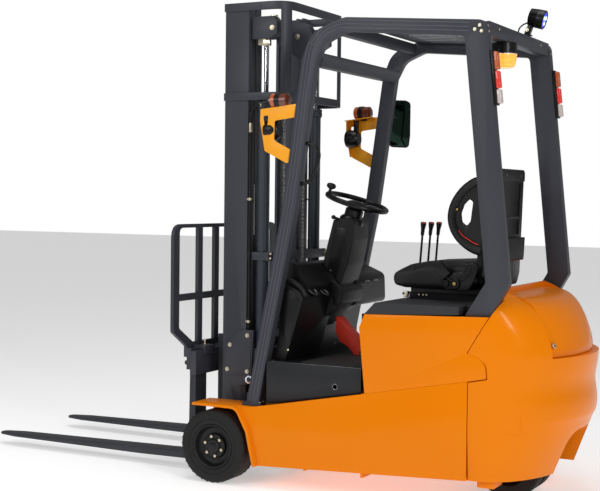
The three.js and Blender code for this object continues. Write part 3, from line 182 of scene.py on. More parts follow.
# %% A socket that does arithmetic
class Wire:
    def __init__(self, finish, socket):
        self.finish, self.socket = finish, socket

    def math(self, operation, first, second):
        return self.finish.node("ShaderNodeMath", {"operation": operation}, {0: first, 1: second})

    def __add__(self, other):
        return self.math("ADD", self, other)

    def __radd__(self, other):
        return self.math("ADD", other, self)

    def __sub__(self, other):
        return self.math("SUBTRACT", self, other)

    def __rsub__(self, other):
        return self.math("SUBTRACT", other, self)

    def __mul__(self, other):
        return self.math("MULTIPLY", self, other)

    def __rmul__(self, other):
        return self.math("MULTIPLY", other, self)

    def __pow__(self, other):
        return self.math("POWER", self, other)

    def __gt__(self, other):
        return self.math("GREATER_THAN", self, other)

    def __lt__(self, other):
        return self.math("LESS_THAN", self, other)


# %% A finish, and what is plugged into it
def hue(red, green, blue):
    def linear(v):
        v /= 255
        return v / 12.92 if v <= 0.04045 else ((v + 0.055) / 1.055) ** 2.4
    return (linear(red), linear(green), linear(blue), 1)


class Finish:
    def __init__(self, name, **constants):
        self.material = bpy.data.materials.new(name)
        self.material.use_nodes = True
        self.tree = self.material.node_tree
        self.shader = self.tree.nodes["Principled BSDF"]
        for socket, value in constants.items():
            self.shader.inputs[socket.replace("_", " ")].default_value = value

    def node(self, kind, settings, sockets, out=0):
        made = self.tree.nodes.new(kind)
        for key, value in settings.items():
            if key == "stops":
                self.stops(made.color_ramp, value)
            else:
                setattr(made, key, value)
        for key, value in sockets.items():
            self.plug(made.inputs[key], value)
        return Wire(self, made.outputs[out])

    def stops(self, ramp, pairs):
        while len(ramp.elements) < len(pairs):
            ramp.elements.new(0.5)
        for element, (place, colour) in zip(ramp.elements, pairs):
            element.position, element.color = place, colour

    def plug(self, socket, value):
        if isinstance(value, Wire):
            self.tree.links.new(value.socket, socket)
        else:
            socket.default_value = value

    def give(self, **sockets):
        for socket, value in sockets.items():
            self.plug(self.shader.inputs[socket.replace("_", " ")], value)
        return self

    def place(self, stretch=(1, 1, 1)):
        where = self.node("ShaderNodeTexCoord", {}, {}, 3)
        return self.node("ShaderNodeVectorMath", {"operation": "MULTIPLY"}, {0: where, 1: stretch})

    def noise(self, per_metre, detail=3, stretch=(1, 1, 1)):
        return self.node("ShaderNodeTexNoise", {}, {"Vector": self.place(stretch),
                                                    "Scale": per_metre, "Detail": detail})

    def cells(self, per_metre, out=0):
        return self.node("ShaderNodeTexVoronoi", {}, {"Vector": self.place(), "Scale": per_metre}, out)

    def blend(self, share, low, high):
        return self.node("ShaderNodeMix", {"data_type": "RGBA"}, {0: share, 6: low, 7: high}, 2)

    def ramp(self, value, *stops):
        return self.node("ShaderNodeValToRGB", {"stops": stops}, {"Fac": value})

    def axis(self, letter):
        return self.node("ShaderNodeSeparateXYZ", {}, {"Vector": self.place()}, "XYZ".index(letter))

    def bump(self, height, depth, strength=1.0):
        normal = self.node("ShaderNodeBump", {}, {"Height": height, "Distance": depth,
                                                  "Strength": strength})
        return self.give(Normal=normal)


print("finish tools ready")

# %% [markdown]
# ## Paint
# The bodywork is sprayed in a warm orange under a clear gloss. Sprayed paint is never dead flat:
# it has a faint pebble, called orange peel, a few millimetres across. Towards the bottom of the
# sides the colour turns a little darker and greyer, and the gloss duller. The dark parts are
# powder coated, which leaves a finer and duller pebble.

# %% Orange body paint
BODY = Finish("body_paint", Metallic=0.0, Specular_IOR_Level=0.16, Specular_Tint=(1.0, 0.62, 0.25, 1.0),
              Coat_Weight=0.14, Coat_Roughness=0.08)
cloud = BODY.noise(2.2)
# Towards the bottom of the sides the colour turns a little darker and greyer, and the gloss duller.
low_down = BODY.ramp(BODY.axis("Z"), (0.1, (1, 1, 1, 1)), (0.42, (0, 0, 0, 1)))
orange = BODY.blend(cloud, hue(234, 125, 1), hue(240, 132, 1))
BODY.give(Base_Color=BODY.blend(low_down * 0.12, orange, hue(196, 128, 46)),
          Roughness=0.27 + 0.08 * cloud + 0.1 * low_down)
BODY.bump(BODY.noise(140, 1), 0.0004, 0.25)
print("body paint nodes:", len(BODY.tree.nodes))

# %% Dark powder coats
def powder(name, colour, other, rough):
    coat = Finish(name, Metallic=0.0, Specular_IOR_Level=0.35)
    speck = coat.noise(900, 2)
    patch = coat.noise(3)
    coat.give(Base_Color=coat.blend(patch, colour, other), Roughness=rough + 0.12 * speck)
    coat.bump(speck, 0.0004, 0.35)
    return coat


SLATE = powder("slate_paint", hue(52, 54, 61), hue(60, 62, 70), 0.36)
FORK_PAINT = powder("fork_paint", hue(46, 47, 52), hue(58, 60, 66), 0.42)
BLACK_METAL = powder("black_metal", hue(18, 18, 19), hue(25, 25, 26), 0.42)
BARREL_PAINT = powder("barrel_paint", hue(50, 56, 64), hue(58, 64, 72), 0.16)
# A lighter grey for the guard's ribs: a painted highlight along each ridge, not a different coat.
RIB_HIGHLIGHT = powder("painted_rib_highlight", hue(74, 77, 85), hue(82, 85, 93), 0.3)
RED_PAINT = powder("red_paint", hue(214, 50, 32), hue(226, 64, 44), 0.38)
STEP_GREY = powder("step_grey", hue(22, 24, 28), hue(29, 31, 35), 0.42)
GUARD_YELLOW = powder("lamp_guard_paint", hue(244, 158, 16), hue(250, 168, 26), 0.34)
print("powder coats:", 8)

# %% [markdown]
# ## Plastic, vinyl and rubber
# The dash and the column boot are moulded in black plastic with a fine leather-like grain. The
# seat is a softer vinyl with a larger grain. Rubber is the dullest of all, and carries a patchy
# dust of pale grey.

# %% Grained black plastics
def grained(name, colour, other, rough, grain, depth):
    skin = Finish(name, Metallic=0.0, Specular_IOR_Level=0.3)
    pebble = skin.cells(grain)
    patch = skin.noise(6)
    skin.give(Base_Color=skin.blend(patch, colour, other), Roughness=rough + 0.15 * pebble)
    skin.bump(pebble, depth, 0.5)
    return skin


PLASTIC = grained("black_plastic", hue(12, 12, 13), hue(19, 19, 20), 0.34, 700, 0.0003)
SMOOTH_BLACK = grained("smooth_black", hue(13, 13, 14), hue(18, 18, 19), 0.22, 300, 0.0001)
VINYL = grained("vinyl", hue(20, 20, 21), hue(30, 30, 31), 0.36, 480, 0.0005)
HOOD_SKIN = grained("hood_skin", hue(44, 45, 48), hue(52, 53, 57), 0.48, 800, 0.0003)
RUBBER = grained("tyre_rubber", hue(22, 22, 22), hue(34, 33, 32), 0.62, 260, 0.0005)
HOSE = grained("hose_rubber", hue(18, 18, 18), hue(26, 26, 26), 0.5, 900, 0.0002)
print("plastics and rubbers:", 6)

# %% [markdown]
# The floor has a rubber mat with fine ribs that run across the truck. They are too small to be
# worth modelling one by one, so a wave of height gives them.

# %% Ribbed mat
MAT = Finish("floor_mat", Metallic=0.0)
rib = MAT.node("ShaderNodeTexWave", {"bands_direction": "X"},
               {"Vector": MAT.place(), "Scale": 26.0, "Distortion": 0.0})
MAT.give(Base_Color=MAT.blend(MAT.noise(8), hue(30, 30, 30), hue(44, 43, 42)),
         Roughness=0.55 + 0.2 * rib)
MAT.bump(rib, 0.002, 0.8)
print("mat ready")

# %% [markdown]
# ## Bright metal
# The cylinder rods are hard chrome, which mirrors the room with hardly a haze. Bolts and chain
# are plain steel, drawn or pressed, with streaks along their length. The lock plugs and the
# pivot nuts are zinc plated, which has a yellow cast.

# %% Metals
def metal(name, colour, other, rough, streak):
    bright = Finish(name, Metallic=1.0)
    line = bright.noise(60, 2, streak)
    bright.give(Base_Color=bright.blend(line, colour, other), Roughness=rough + 0.14 * line)
    return bright


CHROME = metal("chrome", hue(205, 208, 212), hue(222, 224, 228), 0.06, (1, 1, 0.1))
STEEL = metal("chain_steel", hue(112, 112, 114), hue(146, 146, 148), 0.3, (1, 1, 8))
ZINC = metal("zinc", hue(196, 186, 160), hue(222, 214, 190), 0.28, (6, 6, 6))
BRASS = metal("brass", hue(186, 150, 84), hue(214, 184, 118), 0.26, (6, 6, 6))
print("metals:", 4)

# %% [markdown]
# ## Lenses
# A moulded lens has rows of tiny prisms behind a clear face. They break the light into fine
# bands, so each lens gets a stripe of height and a stripe of colour, and a little glow of its
# own where it is lit.

# %% Lamp lenses
def lens(name, colour, deep, glow, across=(0, 0, 1), bands=120):
    glass = Finish(name, Metallic=0.0, Coat_Weight=0.8, Coat_Roughness=0.04, Emission_Strength=glow)
    stripe = glass.node("ShaderNodeTexWave", {"bands_direction": "DIAGONAL"},
                        {"Vector": glass.place(across), "Scale": float(bands), "Distortion": 0.6})
    tint = glass.blend(stripe, deep, colour)
    glass.give(Base_Color=tint, Emission_Color=tint, Roughness=0.18 + 0.1 * stripe)
    glass.bump(stripe, 0.0006, 0.4)
    return glass


AMBER_LIT = lens("amber_lens", hue(255, 190, 70), hue(240, 110, 14), 0.9)
AMBER_DARK = lens("amber_dark", hue(214, 96, 22), hue(120, 40, 10), 0.1)
RED_LIT = lens("red_lens", hue(232, 44, 26), hue(150, 14, 10), 0.35)
CLEAR = lens("clear_lens", hue(214, 206, 200), hue(170, 150, 146), 0.05)
BLUE_LIT = lens("lamp_blue", hue(60, 90, 255), hue(10, 16, 200), 1.4)
print("lenses:", 5)

# %% Mirror glass
MIRROR = Finish("mirror_glass", Metallic=1.0)
haze = MIRROR.noise(20)
MIRROR.give(Base_Color=MIRROR.blend(haze, hue(34, 54, 46), hue(46, 66, 56)),
            Roughness=0.05 + 0.06 * haze)
floor_finish = Finish("studio_floor", Specular_IOR_Level=0.2, Emission_Color=(1.0, 1.0, 1.0, 1.0),
                      Emission_Strength=0.42)
floor_finish.give(Base_Color=floor_finish.blend(floor_finish.noise(0.4), (0.9, 0.9, 0.9, 1),
                                                (0.93, 0.93, 0.93, 1)),
                  Roughness=0.6 + 0.1 * floor_finish.noise(3))
floor_plate.data.materials.append(floor_finish.material)
print("mirror and floor ready")

# %% [markdown]
# ## Making meshes
# Nearly every piece here is one of four things: an outline pushed through a thickness, a
# profile spun round a line, a bar swept along a path, or a copy of a solid with its edges
# eased. A helper for each keeps the later cells down to the numbers that matter. Real edges
# are never sharp, and the thin highlight along an eased edge is what makes metal look solid.

# %% Outlines with rounded corners
def rounded(corners, steps=6):
    points = []
    count = len(corners)
    for i, corner in enumerate(corners):
        here = Vector(corner[:2])
        radius = corner[2] if len(corner) > 2 else 0
        if not radius:
            points.append(here)
            continue
        back = Vector(corners[i - 1][:2]) - here
        on = Vector(corners[(i + 1) % count][:2]) - here
        half = back.angle(on) / 2
        reach = min(radius / math.tan(half), back.length / 2, on.length / 2)
        start, end = here + back.normalized() * reach, here + on.normalized() * reach
        for k in range(steps + 1):
            t = k / steps
            points.append(start * (1 - t) ** 2 + here * 2 * t * (1 - t) + end * t * t)
    return points


def tidy(mesh, angle=35):
    mesh.polygons.foreach_set("use_smooth", [True] * len(mesh.polygons))
    mesh.set_sharp_from_angle(angle=math.radians(angle))
    return mesh


def settle(thing, angle=35):
    bpy.context.view_layer.update()
    done = bpy.data.meshes.new_from_object(thing.evaluated_get(bpy.context.evaluated_depsgraph_get()))
    thing.modifiers.clear()
    thing.data = tidy(done, angle)
    return thing


def eased(thing, width, segments=2, angle=30):
    bevel = thing.modifiers.new("ease", "BEVEL")
    bevel.width, bevel.segments = width * MM, segments
    bevel.limit_method, bevel.angle_limit = "ANGLE", math.radians(angle)
    bevel.miter_outer = "MITER_ARC"
    return settle(thing)


# %% Outline through a thickness
SIDEWAYS = {"y": lambda u, v, w: at(u, w, v), "z": lambda u, v, w: at(u, v, w), "x": lambda u, v,
            w: at(w, u, v)}


def pushed(name, outline, along, low, high, ease=0, segments=2):
    mesh = bmesh.new()
    spot = SIDEWAYS[along]
    near = [mesh.verts.new(spot(p[0], p[1], low)) for p in outline]
    far = [mesh.verts.new(spot(p[0], p[1], high)) for p in outline]
    mesh.faces.new(near)
    mesh.faces.new(far[::-1])
    for i in range(len(near)):
        j = (i + 1) % len(near)
        mesh.faces.new((near[i], far[i], far[j], near[j]))
    bmesh.ops.recalc_face_normals(mesh, faces=mesh.faces)
    data = bpy.data.meshes.new(name)
    mesh.to_mesh(data)
    thing = stand(name, tidy(data))
    return eased(thing, ease, segments) if ease else thing


def block(name, x, y, z, ease=2, segments=2):
    outline = [(x[0], z[0]), (x[1], z[0]), (x[1], z[1]), (x[0], z[1])]
    return pushed(name, outline, "y", *y, ease, segments)


# %% Profile round a line
def spun(name, profile, middle, toward, sides=48):
    mesh = bmesh.new()
    toward = Vector(toward).normalized()
    across = toward.orthogonal().normalized()
    third = toward.cross(across)
    rings = []
    for radius, along in profile:
        if radius < 0.01:
            rings.append([mesh.verts.new(Vector(middle) + toward * along * MM)])
            continue
        rings.append([mesh.verts.new(Vector(middle) + toward * along * MM + (
            across * math.cos(a) + third * math.sin(a)) * radius * MM)
            for a in (2 * math.pi * k / sides for k in range(sides))])
    for one, two in zip(rings, rings[1:]):
        for k in range(sides):
            j = (k + 1) % sides
            face = [one[k % len(one)], one[j % len(one)], two[j % len(two)], two[k % len(two)]]
            face = list(dict.fromkeys(face))
            if len(face) > 2:
                mesh.faces.new(face)
    bmesh.ops.remove_doubles(mesh, verts=mesh.verts, dist=1e-6)
    bmesh.ops.remove_doubles(mesh, verts=mesh.verts, dist=1e-6)
    bmesh.ops.holes_fill(mesh, edges=[e for e in mesh.edges if e.is_boundary])
    bmesh.ops.recalc_face_normals(mesh, faces=mesh.faces)
    data = bpy.data.meshes.new(name)
    mesh.to_mesh(data)
    return stand(name, tidy(data))


def rod(name, start, end, radius, sides=24, ease=0.6):
    start, end = Vector(start), Vector(end)
    length = (end - start).length / MM
    ease = min(ease, radius / 3, length / 3)
    profile = [(0, 0), (radius - ease, 0), (radius, ease), (radius, length - ease),
               (radius - ease, length), (0, length)]
    return spun(name, profile, start, end - start, sides)


# %% Bar along a path
def smooth_path(points, steps):
    points = [Vector(p) for p in points]
    ends = [points[0] * 2 - points[1]] + points + [points[-1] * 2 - points[-2]]
    path = []
    for i in range(len(points) - 1):
        a, b, c, d = ends[i:i + 4]
        for k in range(steps):
            t = k / steps
            path.append(0.5 * ((2 * b) + (c - a) * t + (2 * a - 5 * b + 4 * c - d) * t * t
                               + (3 * b - a - 3 * c + d) * t ** 3))
    return path + [points[-1]]


def swept(name, path, radius, sides=12, closed=False):
    mesh = bmesh.new()
    count = len(path)
    normal = (path[1] - path[0]).orthogonal().normalized()
    rings = []
    for i, point in enumerate(path):
        before = path[i - 1] if i or closed else path[i]
        after = path[(i + 1) % count] if i + 1 < count or closed else path[i]
        way = (after - before).normalized()
        normal = (normal - way * normal.dot(way)).normalized()
        other = way.cross(normal)
        rings.append([mesh.verts.new(point + (normal * math.cos(a) + other * math.sin(a)) * radius * MM)
                      for a in (2 * math.pi * k / sides for k in range(sides))])
    for i in range(count if closed else count - 1):
        one, two = rings[i], rings[(i + 1) % count]
        for k in range(sides):
            j = (k + 1) % sides
            mesh.faces.new((one[k], one[j], two[j], two[k]))
    if not closed:
        mesh.faces.new(rings[0][::-1])
        mesh.faces.new(rings[-1])
    bmesh.ops.recalc_face_normals(mesh, faces=mesh.faces)
    data = bpy.data.meshes.new(name)
    mesh.to_mesh(data)
    return stand(name, tidy(data, 50))


# %% Cut, join and hand over
def boolean(thing, others, operation="DIFFERENCE"):
    for other in others:
        change = thing.modifiers.new("change", "BOOLEAN")
        change.operation, change.object, change.solver = operation, other, "EXACT"
    settle(thing)
    for other in others:
        bpy.data.objects.remove(other)
    return thing


def carried(thing, start, end, angle, about):
    turn = Matrix.Rotation(angle, 4, about)
    thing.data.transform(Matrix.Translation(end) @ turn @ Matrix.Translation(-start))
    return thing


def welded(name, things):
    mesh = bmesh.new()
    for thing in things:
        mesh.from_mesh(thing.data)
        bpy.data.objects.remove(thing)
    data = bpy.data.meshes.new(name)
    mesh.to_mesh(data)
    return stand(name, tidy(data))


BODIES = frame["record"]["behaviour"]["bodies"]
BODY_OF = {node: body for body, nodes in BODIES.items() for node in nodes}
SLOT_OF = {part["node"]: part["material_slot"] for part in frame["record"]["subparts"]}
SHOWN = []


def fit(thing, finish, body, slot):
    thing.data.materials.clear()
    thing.data.materials.append(finish.material)
    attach(thing, body)
    SHOWN.append(thing.name)
    return thing


def stand_for(thing, finish, *nodes):
    fit(thing, finish, BODY_OF[nodes[0]], SLOT_OF[nodes[0]])
    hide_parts(*nodes)
    return thing


# %% A solid with its edges eased
def eased_copy(node, finish, width=3, segments=2, angle=30, smooth=35):
    mesh = bmesh.new()
    mesh.from_mesh(frame["nodes"][node].data)
    bmesh.ops.remove_doubles(mesh, verts=mesh.verts, dist=2e-5)
    bmesh.ops.dissolve_limit(mesh, angle_limit=math.radians(0.5), verts=mesh.verts, edges=mesh.edges)
    data = bpy.data.meshes.new(node + "_fine")
    mesh.to_mesh(data)
    thing = stand(node + "_fine", data)
    eased(thing, width, segments, angle)
    tidy(thing.data, smooth)
    return stand_for(thing, finish, node)


def paint(node, finish):
    thing = frame["nodes"][node]
    thing.data.materials.clear()
    thing.data.materials.append(finish.material)
    return thing


print("mesh tools ready")
# %% [markdown]
# ## The tail
# The counterweight is one casting. Its sides run straight, then sweep round the back as half
# an ellipse, and its back bulges out and in as it rises. Pulling a box into that shape by hand
# never gives an even curve. Here level outlines are stacked along one line drawn down the
# middle of the back, so the surface is as smooth as that line. The seams are then cut.

# %% The line down the back
TAIL_FRONT, SIDE_END = -1236, -1270
FOOT_Z, TAPER_Z, SHOULDER_Z, TAIL_TOP = 147, 372, 800, 955
BODY_HALF, FLAT_HALF, FOOT_TAPER = 500, 400, 15
REAR = round((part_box("counterweight")[0].x - AXLE.x) / MM)
TAIL_LINE = [(110, FOOT_Z), (25, 364), (6, 405), (2, 460), (13, 545), (3, 620), (0, 690), (20, 749),
             (59, 823), (121, 886), (202, 926), (270, 950), (310, TAIL_TOP)]
COVER_LINE = [(32, 640), (33, 700), (53, 772), (84, 843), (130, 895), (200, 924), (310, 934)]


def half_width(z):
    if z < TAPER_Z:
        return BODY_HALF - FOOT_TAPER * (TAPER_Z - z) / (TAPER_Z - FOOT_Z)
    up = min(max((z - SHOULDER_Z) / (TAIL_TOP - SHOULDER_Z), 0), 1)
    return FLAT_HALF + (BODY_HALF - FLAT_HALF) * math.sqrt(1 - up * up)


def full_width(z):
    return BODY_HALF


def tail_skin(name, line, width_at, inward=0, around=64, between=5):
    mesh = bmesh.new()
    path = smooth_path([(REAR + x + inward, 0, z - inward) for x, z in line], between)
    rings = []
    for spot in path:
        half = width_at(spot.z)
        turns = [math.pi * k / around for k in range(around + 1)]
        ring = [(TAIL_FRONT, half)]
        ring += [(SIDE_END + (spot.x - SIDE_END) * math.sin(a), half * math.cos(a)) for a in turns]
        ring += [(TAIL_FRONT, -half)]
        rings.append([mesh.verts.new(at(x, y, spot.z)) for x, y in ring])
    for low, high in zip(rings, rings[1:]):
        for k in range(len(low)):
            j = (k + 1) % len(low)
            mesh.faces.new((low[k], low[j], high[j], high[k]))
    mesh.faces.new(rings[0])
    mesh.faces.new(rings[-1][::-1])
    bmesh.ops.recalc_face_normals(mesh, faces=mesh.faces)
    data = bpy.data.meshes.new(name)
    mesh.to_mesh(data)
    return stand(name, tidy(data, 40))


# %% Seams of the side panels
SEAM_X, SEAM_Z, BAY_FRONT = -1243, 570, -765
SIDE_FRONT, SIDE_FRONT_Z = -291, 388
LEG_FOOT_X, LEG_FOOT_Z = -1330, 847
TONGUE_X = SEAM_X - 83


def side_top(x):
    return SIDE_FRONT_Z + (SEAM_Z - SIDE_FRONT_Z) * (SIDE_FRONT - x) / (SIDE_FRONT - SEAM_X)


def panel_outline(grow):
    return rounded([(BAY_FRONT, side_top(BAY_FRONT) - grow), (SEAM_X, SEAM_Z - grow),
                    (TONGUE_X - grow, SEAM_Z + 18 - grow, 8), (TONGUE_X + 6 - grow, 645, 40),
                    (SEAM_X - 46, 677, 30), (SEAM_X + 5, 691, 4),
                    (LEG_FOOT_X - grow, LEG_FOOT_Z + grow), (BAY_FRONT + 8, 831 + grow),
                    (BAY_FRONT + 30, 770)], 8)


BOTH = (("left", 1), ("right", -1))
print("tail from", REAR, "to", TAIL_FRONT, "mm")

# %% Counterweight
COVER_HALF, COVER_FOOT, COVER_FRONT, COVER_T = 322, 672, -1312, 14
BAY_HALF, BIG = 405, BODY_HALF + 8


def wall(outline, low, high):
    return pushed("cutter", outline, "y", low, high)


tail = tail_skin("counterweight_casting", TAIL_LINE, half_width)
core_room = boolean(pushed("cutter", [(REAR - 20, COVER_FOOT - 2), (COVER_FRONT, COVER_FOOT - 2),
                                      (COVER_FRONT, TAIL_TOP + 60), (REAR - 20, TAIL_TOP + 60)],
                           "y", -COVER_HALF - 4, COVER_HALF + 4),
                    [tail_skin("core", COVER_LINE, full_width, COVER_T + 1)])
cutters = [
    wall([(TAIL_FRONT + 20, 0), (SEAM_X - 4, 0), (SEAM_X - 4, SEAM_Z), (SEAM_X - 2, 691),
          (SEAM_X - 2, TAIL_TOP + 60), (TAIL_FRONT + 20, TAIL_TOP + 60)], -BIG, BIG),
    wall([(-1302, SEAM_Z + 14), (TAIL_FRONT + 20, SEAM_Z + 14), (TAIL_FRONT + 20, TAIL_TOP + 60),
          (-1302, TAIL_TOP + 60)], -BAY_HALF, BAY_HALF)]
for _, s in BOTH:
    cutters.append(wall([(SEAM_X + 1, 691), (LEG_FOOT_X - 4, LEG_FOOT_Z), (-1416, 1000),
                         (TAIL_FRONT + 20, 1000), (TAIL_FRONT + 20, 691)], s * (BAY_HALF - 1),
                        s * BIG))
    cutters.append(wall(panel_outline(4), s * 471, s * BIG))
cutters.append(core_room)
cutters.append(pushed("cutter", rounded([(-172, 60), (172, 60), (150, 338, 90), (-150, 338, 90)]), "x",
                      REAR - 20, -1300))
cutters.append(spun("cutter", [(0, 0), (208, 0), (208, 340), (0, 340)], at(-1300, 0, 0), (0, 0, 1)))
boolean(tail, cutters)
tidy(tail.data, 32)
stand_for(tail, BODY, "counterweight")
print("casting:", len(tail.data.polygons), "faces")

# %% Shoulders that the guard stands on, and the hinge brackets
for side, s in BOTH:
    shoulder = block("shoulder_" + side, (LEG_FOOT_X + 2, SEAM_X - 4), sorted((s * 414, s * 464)),
                     (600, LEG_FOOT_Z), 3)
    fit(shoulder, BODY, "truck", "body_paint")
    ear = pushed("hood_hinge_" + side, rounded([(-1283, 860, 4), (-1283, 872, 8), (-1297, 874, 8),
                                                (-1320, 846, 10), (-1330, 782), (-1302, 782)]), "y",
                 s * 336, s * 346, 1.5)
    fit(ear, BODY, "truck", "body_paint")
    pin = rod("hinge_pin_" + side, at(-1290, s * 306, 866), at(-1290, s * 340, 866), 5.5)
    fit(pin, ZINC, "truck", "chrome")
print("hinges: 2")

# %% [markdown]
# The rear cover is a thin lid let into the casting. Only its rim shows that it is thin, so it
# is the same kind of skin with its own inside taken away. Two turn locks hold it.

# %% Rear cover
cover = tail_skin("cover_lid", COVER_LINE, full_width)
boolean(cover, [tail_skin("core", COVER_LINE, full_width, COVER_T)])
boolean(cover,
        [pushed("cutter", [(REAR - 20, COVER_FOOT), (COVER_FRONT, COVER_FOOT),
                           (COVER_FRONT, TAIL_TOP), (REAR - 20, TAIL_TOP)], "y", -COVER_HALF,
                COVER_HALF)], "INTERSECT")
eased(cover, 1.6, 2, 50)
tidy(cover.data, 32)
stand_for(cover, BODY, "rear_cover")
for side, s in BOTH:
    where, out = at(-1556, s * 296, 723), Vector((-0.86, 0.36 * s, 0.3)).normalized()
    ring = spun("cover_lock_" + side, [(0, -8), (11, -8), (11, 3), (9, 4.5), (7, 4.5), (7, 2),
                                       (2, 2), (0, 2)], where, out)
    fit(ring, ZINC, "truck", "chrome")
    # The slot is a thin black plate in the lock's hollow, painted shade standing in for the hole.
    slot = rod("lock_slot_" + side, where + out * 2 * MM, where + out * 3.4 * MM, 3, 6)
    fit(slot, SMOOTH_BLACK, "truck", "black_plastic")
print("cover:", len(cover.data.polygons), "faces")

# %% Lifting pad and foot of the casting
for side, s in BOTH:
    out = Vector((-0.42, 0.9 * s, 0.06)).normalized()
    across = Vector((0, 0, 1)).cross(out).normalized()
    tall = out.cross(across)
    middle = at(-1424, s * 449, 401)
    pad = pushed("lifting_pad_" + side, rounded([(-38, -42, 14), (38, -42, 14), (38, 42, 14),
                                                 (-38, 42, 14)], 5), "z", -9, 2.5, 2.2, 3)
    facing = Matrix((across, tall, out)).transposed().to_4x4()
    pad.matrix_world = Matrix.Translation(middle) @ facing @ Matrix.Translation(-AXLE)
    bpy.context.view_layer.update()
    pad.data.transform(pad.matrix_world)
    pad.matrix_world = Matrix.Identity(4)
    fit(pad, BODY, "truck", "body_paint")
    foot = block("tail_foot_" + side, (-1352, -1276), sorted((s * 340, s * 452)), (114, 152), 4)
    fit(foot, BODY, "truck", "body_paint")
print("pads and feet: 2 + 2")

# %% [markdown]
# ## Side panels, frame and hood
# Each side panel is a flat pressing that leans in a little towards its top, which gives it a
# soft crease under the hood. It laps the casting with a rounded tongue. The frame below is
# welded plate, so its solid is kept and only its edges are eased.

# %% Side panels
CREASE_Z, LEAN = 762, 7


def leaned(thing, s):
    mesh = bmesh.new()
    mesh.from_mesh(thing.data)
    for z in (CREASE_Z, CREASE_Z + 14, CREASE_Z + 30):
        bmesh.ops.bisect_plane(mesh, geom=mesh.verts[:] + mesh.edges[:] + mesh.faces[:],
                               plane_co=at(0, 0, z), plane_no=(0, 0, 1))
    for corner in mesh.verts:
        over_crease = max(0, (corner.co.z / MM - CREASE_Z) / (LEG_FOOT_Z - CREASE_Z))
        if s * (corner.co.y - AXLE.y) / MM > 480:
            corner.co.y -= s * LEAN * MM * over_crease ** 1.3
    mesh.to_mesh(thing.data)
    return tidy(thing.data, 30)


for side, s in BOTH:
    panel = pushed("side_panel_skin_" + side, panel_outline(0), "y", s * 474, s * BODY_HALF, 3, 3)
    leaned(panel, s)
    stand_for(panel, BODY, "side_panel_" + side)
eased_copy("frame", BODY, 2.5)
print("panels: 2, frame eased")

# %% Hood
eased_copy("hood", HOOD_SKIN, 5, 3)
for side, s in BOTH:
    seal = swept("hood_seal_" + side, [at(x, s * 484, 833) for x in (-800, -1000, -1190)], 3.5, 8)
    fit(seal, HOSE, "hood", "black_plastic")
    for k, x in enumerate((-818, -1150)):
        stop = block("rail_stop_%s_%d" % (side, k), (x, x + 22), sorted((s * 132, s * 150)),
                     (886, 914), 2)
        fit(stop, ZINC, "hood", "chrome")
    catch = block("hood_catch_" + side, (-779, -757), sorted((s * 300, s * 352)), (824, 838), 2)
    fit(catch, ZINC, "hood", "chrome")
rubber_strip = block("hood_front_lip", (-768, -760), (-470, 470), (828, 842), 2)
fit(rubber_strip, HOSE, "hood", "black_plastic")
paint("battery", BLACK_METAL)
print("hood dressed")
# %% [markdown]
# ## The seat
# A truck seat is foam under vinyl, on a moulded shell. Foam is never a block: it swells
# between its seams and pulls in at its corners. A subdivided box can be pushed about until it
# looks soft, but cloth does it honestly. A slightly small copy is wrapped in a fine grid, blown
# up a little from inside, and held back from going too far. The sewn lines are pressed in last.

# %% Foam blown up as cloth
FRAMES, VOXEL, PRESSURE = 20, 6, 4.0


EVEN_OUT = 40


def puffed(name, outline, low, high, cap, seams, inside):
    thing = pushed(name, outline, "y", low, high, 20, 3)
    grid = thing.modifiers.new("grid", "REMESH")
    grid.mode, grid.voxel_size = "VOXEL", VOXEL * MM
    settle(thing, 180)
    start = [corner.co.copy() for corner in thing.data.vertices]
    cloth = thing.modifiers.new("cloth", "CLOTH")
    cloth.settings.quality = 5
    cloth.settings.use_pressure = True
    cloth.settings.uniform_pressure_force = PRESSURE
    cloth.settings.effector_weights.gravity = 0
    for k in range(1, FRAMES + 1):
        ROOM.frame_set(k)
    settle(thing, 180)
    ROOM.frame_set(1)
    near = [[] for _ in start]
    for edge in thing.data.edges:
        one, two = edge.vertices
        near[one].append(two)
        near[two].append(one)
    steps = [corner.co - before for corner, before in zip(thing.data.vertices, start)]
    steps = [step * min(1, cap * MM / max(step.length, 1e-9)) for step in steps]
    for k in range(EVEN_OUT if any(step.length > 0 for step in steps) else 0):
        steps = [sum((steps[j] for j in ties), step) / (len(ties) + 1) for step,
                 ties in zip(steps, near)]
    for corner, before, step in zip(thing.data.vertices, start, steps):
        spot = before + step
        reading = (spot - AXLE) / MM
        for seam in seams:
            spot += seam(reading)
        corner.co = inside(spot)
    soft = thing.modifiers.new("soft", "SUBSURF")
    soft.levels = 1
    settle(thing, 180)
    return thing


def groove(axis, place, depth, push, width=7):
    def press(reading):
        near = (reading[axis] - place) / width
        return Vector(push) * (-depth * MM * math.exp(-near * near))
    return press


# %% Seat cushion
PAN_Z, BACK_FACE = 934, -1160


def on_the_pan(spot):
    x, y, z = (spot - AXLE) / MM
    return at(max(min(x, -748), BACK_FACE + 1), max(min(y, 242), -242), max(z, PAN_Z))


def top_only(press):
    return lambda reading: press(reading) if reading.z > 990 else Vector()


cushion = puffed("seat_foam", rounded([(-766, 946, 24), (-760, 1004, 60), (-914, 1032, 60),
                                       (-1152, 1046, 24), (-1152, 946, 20)]), -228, 228, 24,
                 [top_only(groove(1, 150, 6, (0, 0, 1))), top_only(groove(1, -150, 6, (0, 0, 1))),
                  top_only(groove(0, -870, 5, (0, 0, 1)))], on_the_pan)
stand_for(cushion, VINYL, "seat_cushion")
print("cushion:", len(cushion.data.polygons), "faces")

# %% Seat back: padded front
def on_the_shell(spot):
    x, y, z = (spot - AXLE) / MM
    return at(max(min(x, -1141), -1213), max(min(y, 226), -226), max(min(z, 1476), 945))


def front_only(press):
    return lambda reading: press(reading) if reading.x > -1185 else Vector()


